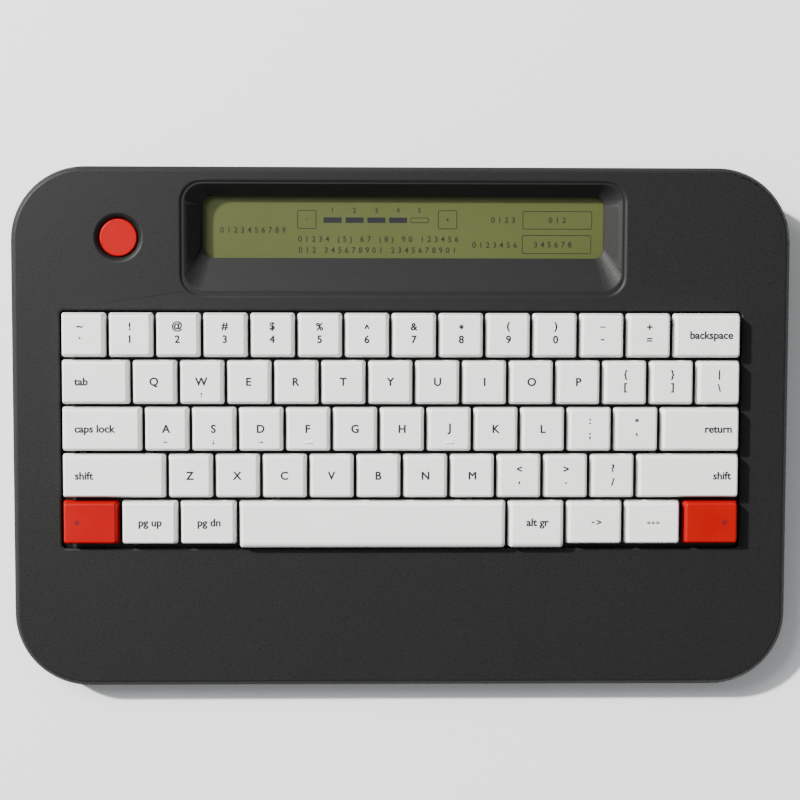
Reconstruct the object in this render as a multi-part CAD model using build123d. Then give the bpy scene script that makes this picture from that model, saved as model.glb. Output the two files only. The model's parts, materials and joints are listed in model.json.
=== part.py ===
from build123d import *

import math
import os

# A one-piece electronic word processor: a wedge-shaped slab with a low-profile
# mechanical keyboard, a reflective display sunk in a funnel-shaped recess behind
# it, a round power button and a fold-out stand underneath. Lengths are in
# millimetres, angles in degrees. X runs along the keyboard to the right, Y runs
# from the user to the rear, Z is up, and Z = 0 is the table that the feet rest on.
#
# The keyboard, the display and the power button are laid out in the deck frame:
# its plane is the sloping top surface, and its Z axis stands square on it.

# ---- Case ----
# Its width and depth follow from the key field, the display and these borders of bare deck.
SIDE_BORDER = 19.4  # beside the key well
PALM_REST = 56.3  # in front of the key well
DECK_STRIP = 6.4  # between the key well and the display recess
REAR_BORDER = 6.1  # behind the display recess
BODY_CORNER = 30.0
DECK_TILT = 4.0
DECK_FRONT_HEIGHT = 13.0  # deck above the table at the front edge
SEAM_HEIGHT = 8.0  # where the two shells meet, above the table
FOOT_HEIGHT = 1.5  # case bottom above the table
WALL = 2.2
DECK_THICKNESS = 2.2
FLOOR_THICKNESS = 2.0
TOP_EDGE_CHAMFER = 1.6
BOTTOM_EDGE_CHAMFER = 2.6
LIP_HEIGHT = 1.5
LIP_THICKNESS = 1.0
LIP_ROOT = 2.5  # how far the lip reaches down the inside of the wall
LIP_FIT = 0.15

# ---- Keyboard layout ----
KEY_PITCH = 19.05
KEY_GAP = 1.1
NUMBER_KEYS = 13

# ---- Keycaps ----
CAP_HEIGHT = 5.0
CAP_LEAN = 0.95  # each side leans in by this much at the top
CAP_CORNER = 1.0
CAP_ROOF = 1.3
CAP_SKIRT = 1.0
KEY_TRAVEL = 3.0
PRESSED_CLEARANCE = 0.5  # keycap skirt above the plate when the key is down
APRON = 1.2  # how far the turned-down front of the space bar stands out
APRON_CORNER = 1.8
APRON_ROLL = 2.6  # depth of the turned-down front
# Its side view, as shares of its depth and of the keycap's height
APRON_PROFILE = [(0.0, 0.0), (0.0, 0.48), (0.21, 0.76), (0.58, 0.95), (1.0, 1.0)]

# ---- Key switches ----
PLATE_THICKNESS = 1.2
PLATE_RIM = 2.1  # plate beyond the skirt of the key well
SWITCH_SIZE = 13.9
SWITCH_TOP_HEIGHT = 3.4  # above the plate
SWITCH_DEPTH = 3.2  # plate top down to the circuit board
SWITCH_FLOOR = 0.5
PLATE_HOLE_FIT = 0.1
SLIDER_WIDTH = 9.8
SLIDER_DEPTH = 4.2
SLIDER_FIT = 0.25
SLIDER_FLOOR_GAP = 0.2  # slider above the switch floor when the key is down
BOARD_THICKNESS = 1.6

# ---- Stabilisers under the wide keys ----
SHIFT_STABILISER_SPAN = 23.8
SPACE_STABILISER_SPAN = 76.2
WIRE_RADIUS = 0.6
WIRE_SIDES = 8
WIRE_ARM = 7.6
WIRE_PIVOT_Y = 8.6  # behind the middle of the key
WIRE_REST_RISE = 4.0  # hook above the pivot when the key is up
WIRE_FIT = 0.25
GUIDE_WIDTH = 3.0
GUIDE_WALL = 1.0
GUIDE_SOLE = 0.8
STABILISER_WALL = 1.15
STABILISER_TOP = 2.6  # guide tower above the plate
STABILISER_REAR_Y = 10.1
STABILISER_STEP_Y = 5.5  # the tower ends here and the low rear part begins
STABILISER_REAR_TOP = 0.1

# ---- Key well in the deck ----
WELL_GAP = 0.9
WELL_FRONT_GAP = 0.8
WELL_CORNER = 2.0
WELL_CHAMFER = 0.4
WELL_SKIRT = 1.6

# ---- Display ----
DISPLAY_X = 0.6
RECESS_WIDTH = 179.4
RECESS_LENGTH = 45.3
RECESS_CORNER = 8.0
RECESS_DEPTH = 6.5
RECESS_RIM_CHAMFER = 0.7
RECESS_SIDE_SLOPE = 7.7  # plan width of the slope beside the window
RECESS_REAR_SLOPE = 5.3
RECESS_FRONT_SLOPE = 14.9
WINDOW_CORNER = 4.0
RECESS_WALL = 1.8
RECESS_FLOOR = 1.8
COVER_THICKNESS = 1.2
COVER_OVERLAP = 2.6  # clear cover beyond the window on every side
GLASS_THICKNESS = 2.0
GLASS_OVERLAP = 2.0
BACKLIGHT_THICKNESS = 3.5
BACKLIGHT_OVERLAP = 3.0
BACKLIGHT_WALL = 1.0
REFLECTOR_DEPTH = 1.5  # pocket that holds the light guide

# ---- Power button ----
BUTTON_SIDE_INSET = 43.3  # from the left edge
BUTTON_REAR_INSET = 28.5
BUTTON_RADIUS = 7.6
BUTTON_RECESS = 0.8  # button face below the deck
BUTTON_FACE_CHAMFER = 0.4
BUTTON_FIT = 0.3
BUTTON_CHAMFER = 1.75
BUTTON_TRAVEL = 0.5
COLLAR_LENGTH = 4.9  # from the deck surface
COLLAR_WALL = 2.0
BUTTON_CATCH_GAP = 0.15
BUTTON_LUG_REACH = 1.5  # catch lugs beyond the side of the button
BUTTON_LUG_WIDTH = 4.0
BUTTON_LUG_THICKNESS = 1.2
BUTTON_STEM_SIZE = 4.0
BUTTON_STEM_LENGTH = 2.9
TACT_GAP = 0.25  # left over the power switch's plunger when the button is down

# ---- Main board ----
MAIN_BOARD_OFFSET = 3.5  # to the left of the power button
MAIN_BOARD_WIDTH = 40.0
MAIN_BOARD_LENGTH = 47.5
MAIN_BOARD_REAR_INSET = 5.3
MAIN_BOARD_CORNER = 2.5
MAIN_BOARD_HEIGHT = 9.0  # underside above the table
STANDOFF_RADIUS = 2.6
STANDOFF_INSET = 3.6
LOCATING_PINS = 2
LOCATING_PIN_RADIUS = 1.0
LOCATING_PIN_FIT = 0.1
TACT_SIZE = 6.0
TACT_HEIGHT = 3.4
TACT_PLUNGER_RADIUS = 1.7
CHIP_SIZE = 12.0
CHIP_HEIGHT = 1.2
CHIP_INSET = 10.0  # from the front edge of the board
CONNECTOR_LENGTH = 14.0
CONNECTOR_DEPTH = 4.0
CONNECTOR_HEIGHT = 2.2
CONNECTOR_INSET = 11.0
CONNECTOR_SPACING = 18.0

# ---- Charging port ----
PORT_WIDTH = 8.94
PORT_HEIGHT = 3.26
PORT_DEPTH = 7.3
PORT_SHELL = 0.3
PORT_TONGUE_WIDTH = 6.7
PORT_TONGUE_THICKNESS = 0.7
PORT_TONGUE_SETBACK = 0.9
PORT_SETBACK = 0.4  # port face behind the rear wall's outer face
PORT_FIT = 0.12

# ---- Battery ----
BATTERY_WIDTH = 104.0
BATTERY_DEPTH = 62.0
BATTERY_THICKNESS = 4.4
BATTERY_X = 36.0
BATTERY_SETBACK = 7.0  # in front of the middle of the key field
BATTERY_EDGE = 1.0
FENCE_THICKNESS = 1.2
FENCE_HEIGHT = 3.0
FENCE_FIT = 0.3

# ---- Screws and posts ----
SCREW_RADIUS = 1.25
SCREW_HEAD_RADIUS = 2.3
SCREW_HEAD_HEIGHT = 1.6
SCREW_LENGTH = 7.0  # under the head
SCREW_HEAD_SETBACK = 0.7  # head above the case bottom
SCREW_FIT = 0.2
PILOT_FIT = 0.05
PILOT_DEPTH = 3.4
TOP_BOSS_RADIUS = 3.5
BOTTOM_BOSS_RADIUS = 4.0
FRONT_SCREW_SIDE_INSET = 20.0
FRONT_SCREW_INSET = 19.0
SIDE_SCREW_INSET = 10.0
SIDE_SCREW_SETBACK = 7.0  # behind the middle of the key field
REAR_SCREW_GAP = 1.8  # screw axis beyond the side of the display recess
REAR_SCREW_INSET = 9.5
PLATE_POST_SIZE = 3.6
PLATE_POST_INSET = 2.1  # post centre in from the plate edge
POST_CLEARANCE = 0.8  # circuit board clear of the posts
PLATE_POST_Y = 30.0
PLATE_POST_X = 70.0
RIB_THICKNESS = 1.2
RIB_HEIGHT = 1.6
RIB_SPACING = 60.0
RIB_COUNT = 4
RIB_MARGIN = 16.0
RIB_FRONT_INSET = 15.0

# ---- Feet ----
FOOT_LENGTH = 36.0
FOOT_WIDTH = 9.0
FOOT_SINK = 0.8
FOOT_CORNER = 2.0
FOOT_FIT = 0.1
FRONT_FOOT_SIDE_INSET = 66.0
FRONT_FOOT_INSET = 14.0
REAR_FOOT_SIDE_INSET = 38.0
REAR_FOOT_INSET = 16.0

# ---- Fold-out stand ----
STAND_WIDTH = 120.0
STAND_LENGTH = 27.0  # hinge line to free edge
STAND_THICKNESS = 3.0
STAND_HINGE_INSET = 21.0  # from the rear edge
STAND_HINGE_RISE = 2.6  # hinge line above the case bottom
STAND_BARREL_RADIUS = 2.4
STAND_CLEARANCE = 0.5
STAND_ROOF_GAP = 0.4
STAND_CORNER = 4.0
STAND_EDGE = 0.5
TRUNNION_RADIUS = 1.5
TRUNNION_LENGTH = 3.0
TRUNNION_FIT = 0.08
EAR_THICKNESS = 4.6
STOP_TAB_LENGTH = 3.3
STOP_TAB_THICKNESS = 1.6
STOP_TAB_WIDTH = 8.0
STOP_TAB_ANGLE = -32.0  # from straight back, with the stand folded
STOP_TAB_X = 45.0
STOP_TAB_GAP = 0.5
BAY_WALL = 1.4
NOTCH_WIDTH = 20.0
NOTCH_REACH = 7.0
NOTCH_DEPTH = 2.4
NOTCH_CORNER = 6.0

# Each row is a list of (node name, width in key units). Keys that share a name
# share a node.
ROWS = [
    [("number_row_keys", 1.0)] * NUMBER_KEYS + [("key_backspace", 1.5)],
    [("key_tab", 1.5)]
    + [("key_" + letter, 1.0) for letter in "qwertyuiop"]
    + [("symbol_keys", 1.0)] * 3,
    [("key_caps_lock", 1.75)]
    + [("key_" + letter, 1.0) for letter in "asdfghjkl"]
    + [("symbol_keys", 1.0)] * 2
    + [("key_return", 1.75)],
    [("key_shift_left", 2.25)]
    + [("key_" + letter, 1.0) for letter in "zxcvbnm"]
    + [("symbol_keys", 1.0)] * 3
    + [("key_shift_right", 2.25)],
    [
        ("key_red_left", 1.25),
        ("key_page_up", 1.25),
        ("key_page_down", 1.25),
        ("key_space", 5.75),
        ("key_alt", 1.25),
        ("key_transfer", 1.25),
        ("key_options", 1.25),
        ("key_red_right", 1.25),
    ],
]

# ---- Values worked out from the ones above ----
SMALL_ROUND_SIDES = 8  # small bosses, screws and their holes are prisms with this many sides
CAP_LEAN_ANGLE = math.degrees(math.atan2(CAP_LEAN, CAP_HEIGHT))
CASE_FLOOR = FOOT_HEIGHT + FLOOR_THICKNESS
PLATE_TOP = -(KEY_TRAVEL + PRESSED_CLEARANCE)
PLATE_BOTTOM = PLATE_TOP - PLATE_THICKNESS
BOARD_TOP = PLATE_TOP - SWITCH_DEPTH
SWITCH_FLOOR_TOP = BOARD_TOP + SWITCH_FLOOR
CAP_ROOF_UNDER = CAP_HEIGHT - CAP_ROOF
CAP_DEPTH = KEY_PITCH - KEY_GAP
UNITS_ACROSS = sum(units for _, units in ROWS[0])
KEY_BLOCK_WIDTH = UNITS_ACROSS * KEY_PITCH - KEY_GAP
KEY_BLOCK_DEPTH = len(ROWS) * KEY_PITCH - KEY_GAP
WELL_WIDTH = KEY_BLOCK_WIDTH + 2 * WELL_GAP
WELL_DEPTH = KEY_BLOCK_DEPTH + WELL_GAP + APRON + WELL_FRONT_GAP
BODY_WIDTH = WELL_WIDTH + 2 * SIDE_BORDER
BODY_DEPTH = PALM_REST + WELL_DEPTH + DECK_STRIP + RECESS_LENGTH + REAR_BORDER
SPAN = 2 * BODY_WIDTH  # bigger than anything, for cutting
FRONT_Y = -BODY_DEPTH / 2
REAR_Y = BODY_DEPTH / 2
DECK_MID_HEIGHT = DECK_FRONT_HEIGHT + BODY_DEPTH / 2 * math.tan(math.radians(DECK_TILT))
RECESS_REAR_Y = REAR_Y - REAR_BORDER
RECESS_FRONT_Y = RECESS_REAR_Y - RECESS_LENGTH
WELL_REAR_Y = RECESS_FRONT_Y - DECK_STRIP
WELL_FRONT_Y = WELL_REAR_Y - WELL_DEPTH
KEY_BLOCK_Y = WELL_REAR_Y - WELL_GAP - KEY_BLOCK_DEPTH / 2
WINDOW_WIDTH = RECESS_WIDTH - 2 * RECESS_SIDE_SLOPE
WINDOW_REAR_Y = RECESS_REAR_Y - RECESS_REAR_SLOPE
WINDOW_FRONT_Y = RECESS_FRONT_Y + RECESS_FRONT_SLOPE
BUTTON_X = -BODY_WIDTH / 2 + BUTTON_SIDE_INSET
BUTTON_Y = REAR_Y - BUTTON_REAR_INSET
MAIN_BOARD_X = BUTTON_X - MAIN_BOARD_OFFSET
MAIN_BOARD_REAR_Y = REAR_Y - MAIN_BOARD_REAR_INSET
MAIN_BOARD_FRONT_Y = MAIN_BOARD_REAR_Y - MAIN_BOARD_LENGTH
BATTERY_Y = KEY_BLOCK_Y - BATTERY_SETBACK
FRONT_SCREW = (BODY_WIDTH / 2 - FRONT_SCREW_SIDE_INSET, FRONT_Y + FRONT_SCREW_INSET)
SIDE_SCREW = (BODY_WIDTH / 2 - SIDE_SCREW_INSET, KEY_BLOCK_Y + SIDE_SCREW_SETBACK)
REAR_SCREW = (RECESS_WIDTH / 2 + DISPLAY_X + REAR_SCREW_GAP, REAR_Y - REAR_SCREW_INSET)
RIB_FRONT_Y = FRONT_Y + RIB_FRONT_INSET
FRONT_FOOT = (BODY_WIDTH / 2 - FRONT_FOOT_SIDE_INSET, FRONT_Y + FRONT_FOOT_INSET)
REAR_FOOT = (BODY_WIDTH / 2 - REAR_FOOT_SIDE_INSET, REAR_Y - REAR_FOOT_INSET)
STAND_HINGE_Y = REAR_Y - STAND_HINGE_INSET
PLATE_WIDTH = WELL_WIDTH + 2 * WELL_SKIRT + 2 * PLATE_RIM
PLATE_REAR_Y = WELL_REAR_Y + WELL_SKIRT + PLATE_RIM
PLATE_FRONT_Y = WELL_FRONT_Y - WELL_SKIRT - PLATE_RIM
BOARD_MARGIN = PLATE_POST_INSET + PLATE_POST_SIZE / 2 + POST_CLEARANCE
COVER_TOP = -(RECESS_DEPTH + RECESS_FLOOR)
GLASS_TOP = COVER_TOP - COVER_THICKNESS
BACKLIGHT_TOP = GLASS_TOP - GLASS_THICKNESS
WINDOW_Y = (WINDOW_REAR_Y + WINDOW_FRONT_Y) / 2
WINDOW_DEPTH = WINDOW_REAR_Y - WINDOW_FRONT_Y
STAND_HINGE_Z = FOOT_HEIGHT + STAND_HINGE_RISE
WIRE_PIVOT_Z = (PLATE_BOTTOM + BOARD_TOP) / 2
WIRE_REST_ANGLE = math.degrees(math.asin(WIRE_REST_RISE / WIRE_ARM))
WIRE_PRESSED_ANGLE = math.degrees(math.asin((WIRE_REST_RISE - KEY_TRAVEL) / WIRE_ARM))
HOOK_REST_Y = WIRE_PIVOT_Y - WIRE_ARM * math.cos(math.radians(WIRE_REST_ANGLE))
HOOK_PRESSED_Y = WIRE_PIVOT_Y - WIRE_ARM * math.cos(math.radians(WIRE_PRESSED_ANGLE))
HOOK_REST_Z = WIRE_PIVOT_Z + WIRE_REST_RISE
HOOK_SLOT_REAR = HOOK_REST_Y + WIRE_RADIUS + WIRE_FIT
HOOK_SLOT_FRONT = HOOK_PRESSED_Y - WIRE_RADIUS - WIRE_FIT
ARM_OFFSET = GUIDE_WIDTH / 2 + 2 * WIRE_FIT + WIRE_RADIUS  # arm outboard of the guide post

DECK = Plane(
    origin=(0, 0, DECK_MID_HEIGHT),
    x_dir=(1, 0, 0),
    z_dir=(0, -math.sin(math.radians(DECK_TILT)), math.cos(math.radians(DECK_TILT))),
)

APRON_KEYS = ("key_space", "key_alt")
STABILISER_SPANS = {
    "key_shift_left": SHIFT_STABILISER_SPAN,
    "key_shift_right": SHIFT_STABILISER_SPAN,
    "key_space": SPACE_STABILISER_SPAN,
}
WIRE_NAMES = {
    "key_shift_left": "left_shift_wire",
    "key_shift_right": "right_shift_wire",
    "key_space": "space_bar_wire",
}


def key_places():
    """Every key as (name, units, x, y), with x and y in the deck frame."""
    places = []
    for row, keys in enumerate(ROWS):
        y = KEY_BLOCK_Y + (2 - row) * KEY_PITCH
        left = -UNITS_ACROSS / 2 * KEY_PITCH
        for name, units in keys:
            places.append((name, units, left + units * KEY_PITCH / 2, y))
            left += units * KEY_PITCH
    return places


def both_sides(place):
    """A point given for the right side, and its mirror image on the left."""
    return [place, (-place[0], place[1])]


def slab(x_low, x_high, y_low, y_high, z_low, z_high):
    """A box between two corners."""
    centre = Pos((x_low + x_high) / 2, (y_low + y_high) / 2, (z_low + z_high) / 2)
    return centre * Box(x_high - x_low, y_high - y_low, z_high - z_low)


def post(radius, z_low, z_high):
    """A round post or hole on the local Z axis."""
    return Pos(0, 0, (z_low + z_high) / 2) * Cylinder(radius, z_high - z_low)


def prism(radius, z_low, z_high):
    """A small boss, screw or hole on the local Z axis, as a many-sided prism."""
    return Pos(0, 0, z_low) * extrude(RegularPolygon(radius, SMALL_ROUND_SIDES), z_high - z_low)


def above_deck(offset):
    """Everything above a plane parallel to the deck."""
    return DECK * Pos(0, 0, offset + SPAN / 2) * Box(SPAN, SPAN, SPAN)


def body_outline(inset):
    """Plan outline of the case, moved inwards."""
    return RectangleRounded(
        BODY_WIDTH - 2 * inset, BODY_DEPTH - 2 * inset, BODY_CORNER - inset
    )


# ---------------------------------------------------------------- keycaps


def apron_envelope(width):
    """Side view of a keycap with a turned-down front, carried across its width."""
    rear = CAP_DEPTH / 2
    front = -rear - APRON
    outline = [(front + back * APRON_ROLL, rise * CAP_HEIGHT) for back, rise in APRON_PROFILE]
    outline += [(rear, CAP_HEIGHT), (rear, 0)]
    face = make_face(Plane.YZ * Polyline(*outline, close=True))
    return Pos(-width / 2) * extrude(face, width, dir=(1, 0, 0))


def cap_shell(units, has_apron):
    """Tapered keycap, open underneath, with its skirt on Z = 0."""
    width = units * KEY_PITCH - KEY_GAP
    apron = APRON if has_apron else 0
    footprint = Pos(0, -apron / 2) * Rectangle(width, CAP_DEPTH + apron)
    footprint = chamfer(footprint.vertices().group_by(Axis.Y)[-1], CAP_CORNER)
    front_corner = APRON_CORNER if has_apron else CAP_CORNER
    footprint = chamfer(footprint.vertices().group_by(Axis.Y)[0], front_corner)
    shell = extrude(footprint, CAP_HEIGHT, taper=CAP_LEAN_ANGLE)
    if has_apron:
        shell = shell & apron_envelope(width)
    mouth = Rectangle(width - 2 * CAP_SKIRT, CAP_DEPTH - 2 * CAP_SKIRT)
    return shell - extrude(mouth, CAP_ROOF_UNDER, taper=CAP_LEAN_ANGLE)


def guide_post():
    """Post under a wide keycap that rides in a stabiliser and holds the wire's hook."""
    rear = HOOK_SLOT_REAR + GUIDE_WALL
    front = HOOK_SLOT_FRONT - GUIDE_WALL
    slot_bottom = HOOK_REST_Z - WIRE_RADIUS - WIRE_FIT
    slot_top = HOOK_REST_Z + WIRE_RADIUS + WIRE_FIT
    half = GUIDE_WIDTH / 2
    body = slab(-half, half, front, rear, slot_bottom - GUIDE_SOLE, CAP_ROOF_UNDER)
    return body - slab(-half, half, HOOK_SLOT_FRONT, HOOK_SLOT_REAR, slot_bottom, slot_top)


def key_solids(name, units):
    """Keycap and switch slider of one key, centred on its own axis."""
    cap = cap_shell(units, name in APRON_KEYS)
    if name in STABILISER_SPANS:
        half_span = STABILISER_SPANS[name] / 2
        cap += Pos(half_span, 0) * guide_post()
        cap += Pos(-half_span, 0) * guide_post()
    slider_bottom = SWITCH_FLOOR_TOP + SLIDER_FLOOR_GAP + KEY_TRAVEL
    slider = slab(
        -SLIDER_WIDTH / 2,
        SLIDER_WIDTH / 2,
        -SLIDER_DEPTH / 2,
        SLIDER_DEPTH / 2,
        slider_bottom,
        CAP_ROOF_UNDER,
    )
    return [cap, slider]


def key_nodes():
    """Every key node: its keycaps and sliders at their places on the deck."""
    nodes = {}
    for name, units, x, y in key_places():
        placed = [DECK * Pos(x, y) * solid for solid in key_solids(name, units)]
        nodes.setdefault(name, []).extend(placed)
    return nodes


# ---------------------------------------------------------------- switches


def switch_housing():
    """Switch housing with a bore for the slider, standing on the circuit board."""
    top = PLATE_TOP + SWITCH_TOP_HEIGHT
    half = SWITCH_SIZE / 2
    body = slab(-half, half, -half, half, BOARD_TOP, top)
    half_x = SLIDER_WIDTH / 2 + SLIDER_FIT
    half_y = SLIDER_DEPTH / 2 + SLIDER_FIT
    return body - slab(-half_x, half_x, -half_y, half_y, SWITCH_FLOOR_TOP, top)


def stabiliser_housing():
    """Stabiliser for a guide post at the origin, with the wire's arm on its +X side."""
    inner = GUIDE_WIDTH / 2 + WIRE_FIT
    outer = ARM_OFFSET + WIRE_RADIUS + WIRE_FIT
    post_front = HOOK_SLOT_FRONT - GUIDE_WALL - WIRE_FIT
    post_rear = HOOK_SLOT_REAR + GUIDE_WALL + WIRE_FIT
    front = post_front - STABILISER_WALL
    tower_top = PLATE_TOP + STABILISER_TOP
    rear_top = PLATE_TOP + STABILISER_REAR_TOP
    low_x = -inner - STABILISER_WALL
    high_x = outer + STABILISER_WALL
    body = slab(low_x, high_x, front, STABILISER_STEP_Y, BOARD_TOP, tower_top)
    body += slab(low_x, high_x, STABILISER_STEP_Y, STABILISER_REAR_Y, BOARD_TOP, rear_top)
    body -= slab(-inner, inner, post_front, post_rear, BOARD_TOP, tower_top)
    groove = WIRE_RADIUS + WIRE_FIT
    arm_front = HOOK_SLOT_FRONT - WIRE_FIT
    body -= slab(0, outer, arm_front, WIRE_PIVOT_Y + groove, BOARD_TOP, tower_top)
    groove_front = WIRE_PIVOT_Y - groove
    groove_rear = WIRE_PIVOT_Y + groove
    return body - slab(low_x, 0, groove_front, groove_rear, BOARD_TOP, WIRE_PIVOT_Z + groove)


def stabiliser_places():
    """Every stabiliser as (x, y, side), where side is +1 with the arm towards +X."""
    places = []
    for name, _, x, y in key_places():
        if name in STABILISER_SPANS:
            half_span = STABILISER_SPANS[name] / 2
            places.append((x + half_span, y, 1))
            places.append((x - half_span, y, -1))
    return places


def turned(side, shape):
    """The shape itself, or its mirror image in X when side is -1."""
    return shape if side > 0 else mirror(shape, about=Plane.YZ)


def switch_node():
    """All switch housings, and the stabiliser housings of the wide keys."""
    housing = switch_housing()
    solids = [DECK * Pos(x, y) * housing for _, _, x, y in key_places()]
    stabiliser = stabiliser_housing()
    for x, y, side in stabiliser_places():
        solids.append(DECK * Pos(x, y) * turned(side, stabiliser))
    return solids


def stabiliser_wire(span):
    """U-shaped wire in its resting position, for a key centred on the origin."""
    half = span / 2 + ARM_OFFSET
    hook = span / 2 - GUIDE_WIDTH / 2
    path = Polyline(
        (-hook, HOOK_REST_Y, HOOK_REST_Z),
        (-half, HOOK_REST_Y, HOOK_REST_Z),
        (-half, WIRE_PIVOT_Y, WIRE_PIVOT_Z),
        (half, WIRE_PIVOT_Y, WIRE_PIVOT_Z),
        (half, HOOK_REST_Y, HOOK_REST_Z),
        (hook, HOOK_REST_Y, HOOK_REST_Z),
    )
    start = Plane(origin=(-hook, HOOK_REST_Y, HOOK_REST_Z), z_dir=(-1, 0, 0))
    section = start * RegularPolygon(WIRE_RADIUS, WIRE_SIDES)
    return sweep(section, path=path, transition=Transition.RIGHT)


def wire_nodes():
    """One stabiliser wire for each wide key."""
    nodes = {}
    for name, _, x, y in key_places():
        if name in WIRE_NAMES:
            wire = stabiliser_wire(STABILISER_SPANS[name])
            nodes[WIRE_NAMES[name]] = [DECK * Pos(x, y) * wire]
    return nodes


def key_plate():
    """Steel plate that the switches clip into."""
    plate = slab(
        -PLATE_WIDTH / 2, PLATE_WIDTH / 2, PLATE_FRONT_Y, PLATE_REAR_Y, PLATE_BOTTOM, PLATE_TOP
    )
    hole = SWITCH_SIZE + 2 * PLATE_HOLE_FIT
    middle = (PLATE_TOP + PLATE_BOTTOM) / 2
    cutters = [
        Pos(x, y, middle) * Box(hole, hole, PLATE_THICKNESS) for _, _, x, y in key_places()
    ]
    box = stabiliser_housing().bounding_box()
    for x, y, side in stabiliser_places():
        cut = slab(
            box.min.X - PLATE_HOLE_FIT,
            box.max.X + PLATE_HOLE_FIT,
            box.min.Y - PLATE_HOLE_FIT,
            box.max.Y + PLATE_HOLE_FIT,
            PLATE_BOTTOM,
            PLATE_TOP,
        )
        cutters.append(Pos(x, y) * turned(side, cut))
    return DECK * (plate - cutters)


def keyboard_board():
    """Circuit board that carries the switches, under the plate."""
    half = PLATE_WIDTH / 2 - BOARD_MARGIN
    front = PLATE_FRONT_Y + BOARD_MARGIN
    rear = PLATE_REAR_Y - BOARD_MARGIN
    return DECK * slab(-half, half, front, rear, BOARD_TOP - BOARD_THICKNESS, BOARD_TOP)


# ---------------------------------------------------------------- display


def rounded_plan(width, y_low, y_high, corner, x=0.0):
    """Rounded rectangle between two Y values, in the deck frame."""
    return Pos(x, (y_low + y_high) / 2) * RectangleRounded(width, y_high - y_low, corner)


def recess_rim():
    """Outline of the display recess at the deck surface."""
    return rounded_plan(
        RECESS_WIDTH, RECESS_FRONT_Y, RECESS_REAR_Y, RECESS_CORNER, DISPLAY_X
    )


def window_outline():
    """Outline of the window at the bottom of the recess."""
    return rounded_plan(
        WINDOW_WIDTH, WINDOW_FRONT_Y, WINDOW_REAR_Y, WINDOW_CORNER, DISPLAY_X
    )


def display_layer(overlap, top, thickness):
    """One rectangular layer of the display stack under the window."""
    width = WINDOW_WIDTH + 2 * overlap
    depth = WINDOW_DEPTH + 2 * overlap
    return Pos(DISPLAY_X, WINDOW_Y, top - thickness / 2) * Box(width, depth, thickness)


def display_window():
    """Clear cover bonded under the window opening."""
    return DECK * display_layer(COVER_OVERLAP, COVER_TOP, COVER_THICKNESS)


def display_glass():
    """Liquid crystal glass behind the clear cover."""
    return DECK * display_layer(GLASS_OVERLAP, GLASS_TOP, GLASS_THICKNESS)


def display_backlight():
    """Moulded backlight tray with the pocket for its light guide, under the glass."""
    tray = display_layer(BACKLIGHT_OVERLAP, BACKLIGHT_TOP, BACKLIGHT_THICKNESS)
    pocket_overlap = BACKLIGHT_OVERLAP - 2 * BACKLIGHT_WALL
    tray -= display_layer(pocket_overlap, BACKLIGHT_TOP, REFLECTOR_DEPTH)
    guide = display_layer(pocket_overlap, BACKLIGHT_TOP, REFLECTOR_DEPTH)
    return [DECK * tray, DECK * guide]


# ---------------------------------------------------------------- power button


def button_axis():
    """Deck frame moved to the power button's axis."""
    return DECK * Pos(BUTTON_X, BUTTON_Y)


def button_bottom():
    """Underside of the button and its catch lugs, in the deck frame."""
    return -COLLAR_LENGTH - BUTTON_CATCH_GAP - BUTTON_LUG_THICKNESS


def button_stem_bottom():
    return button_bottom() - BUTTON_STEM_LENGTH


def power_button():
    """Round button with catch lugs under the collar and a stem to the switch."""
    bottom = button_bottom()
    lug_top = bottom + BUTTON_LUG_THICKNESS
    button = post(BUTTON_RADIUS, bottom, -BUTTON_RECESS)
    button = chamfer(button.faces().sort_by(Axis.Z)[-1].edges(), BUTTON_FACE_CHAMFER)
    reach = BUTTON_RADIUS + BUTTON_LUG_REACH
    half = BUTTON_LUG_WIDTH / 2
    button += slab(-reach, reach, -half, half, bottom, lug_top)
    button += slab(-half, half, -reach, reach, bottom, lug_top)
    half = BUTTON_STEM_SIZE / 2
    button += slab(-half, half, -half, half, button_stem_bottom(), bottom)
    return button_axis() * button


# ---------------------------------------------------------------- main board


def board_low_x():
    return MAIN_BOARD_X - MAIN_BOARD_WIDTH / 2


def board_high_x():
    return MAIN_BOARD_X + MAIN_BOARD_WIDTH / 2


def main_board_top():
    return MAIN_BOARD_HEIGHT + BOARD_THICKNESS


def standoff_places():
    """Corners of the main board where it sits on its standoffs, pinned ones first."""
    low_y = MAIN_BOARD_FRONT_Y + STANDOFF_INSET
    high_y = MAIN_BOARD_REAR_Y - STANDOFF_INSET
    low_x = board_low_x() + STANDOFF_INSET
    high_x = board_high_x() - STANDOFF_INSET
    return [(low_x, low_y), (high_x, high_y), (low_x, high_y), (high_x, low_y)]


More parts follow.
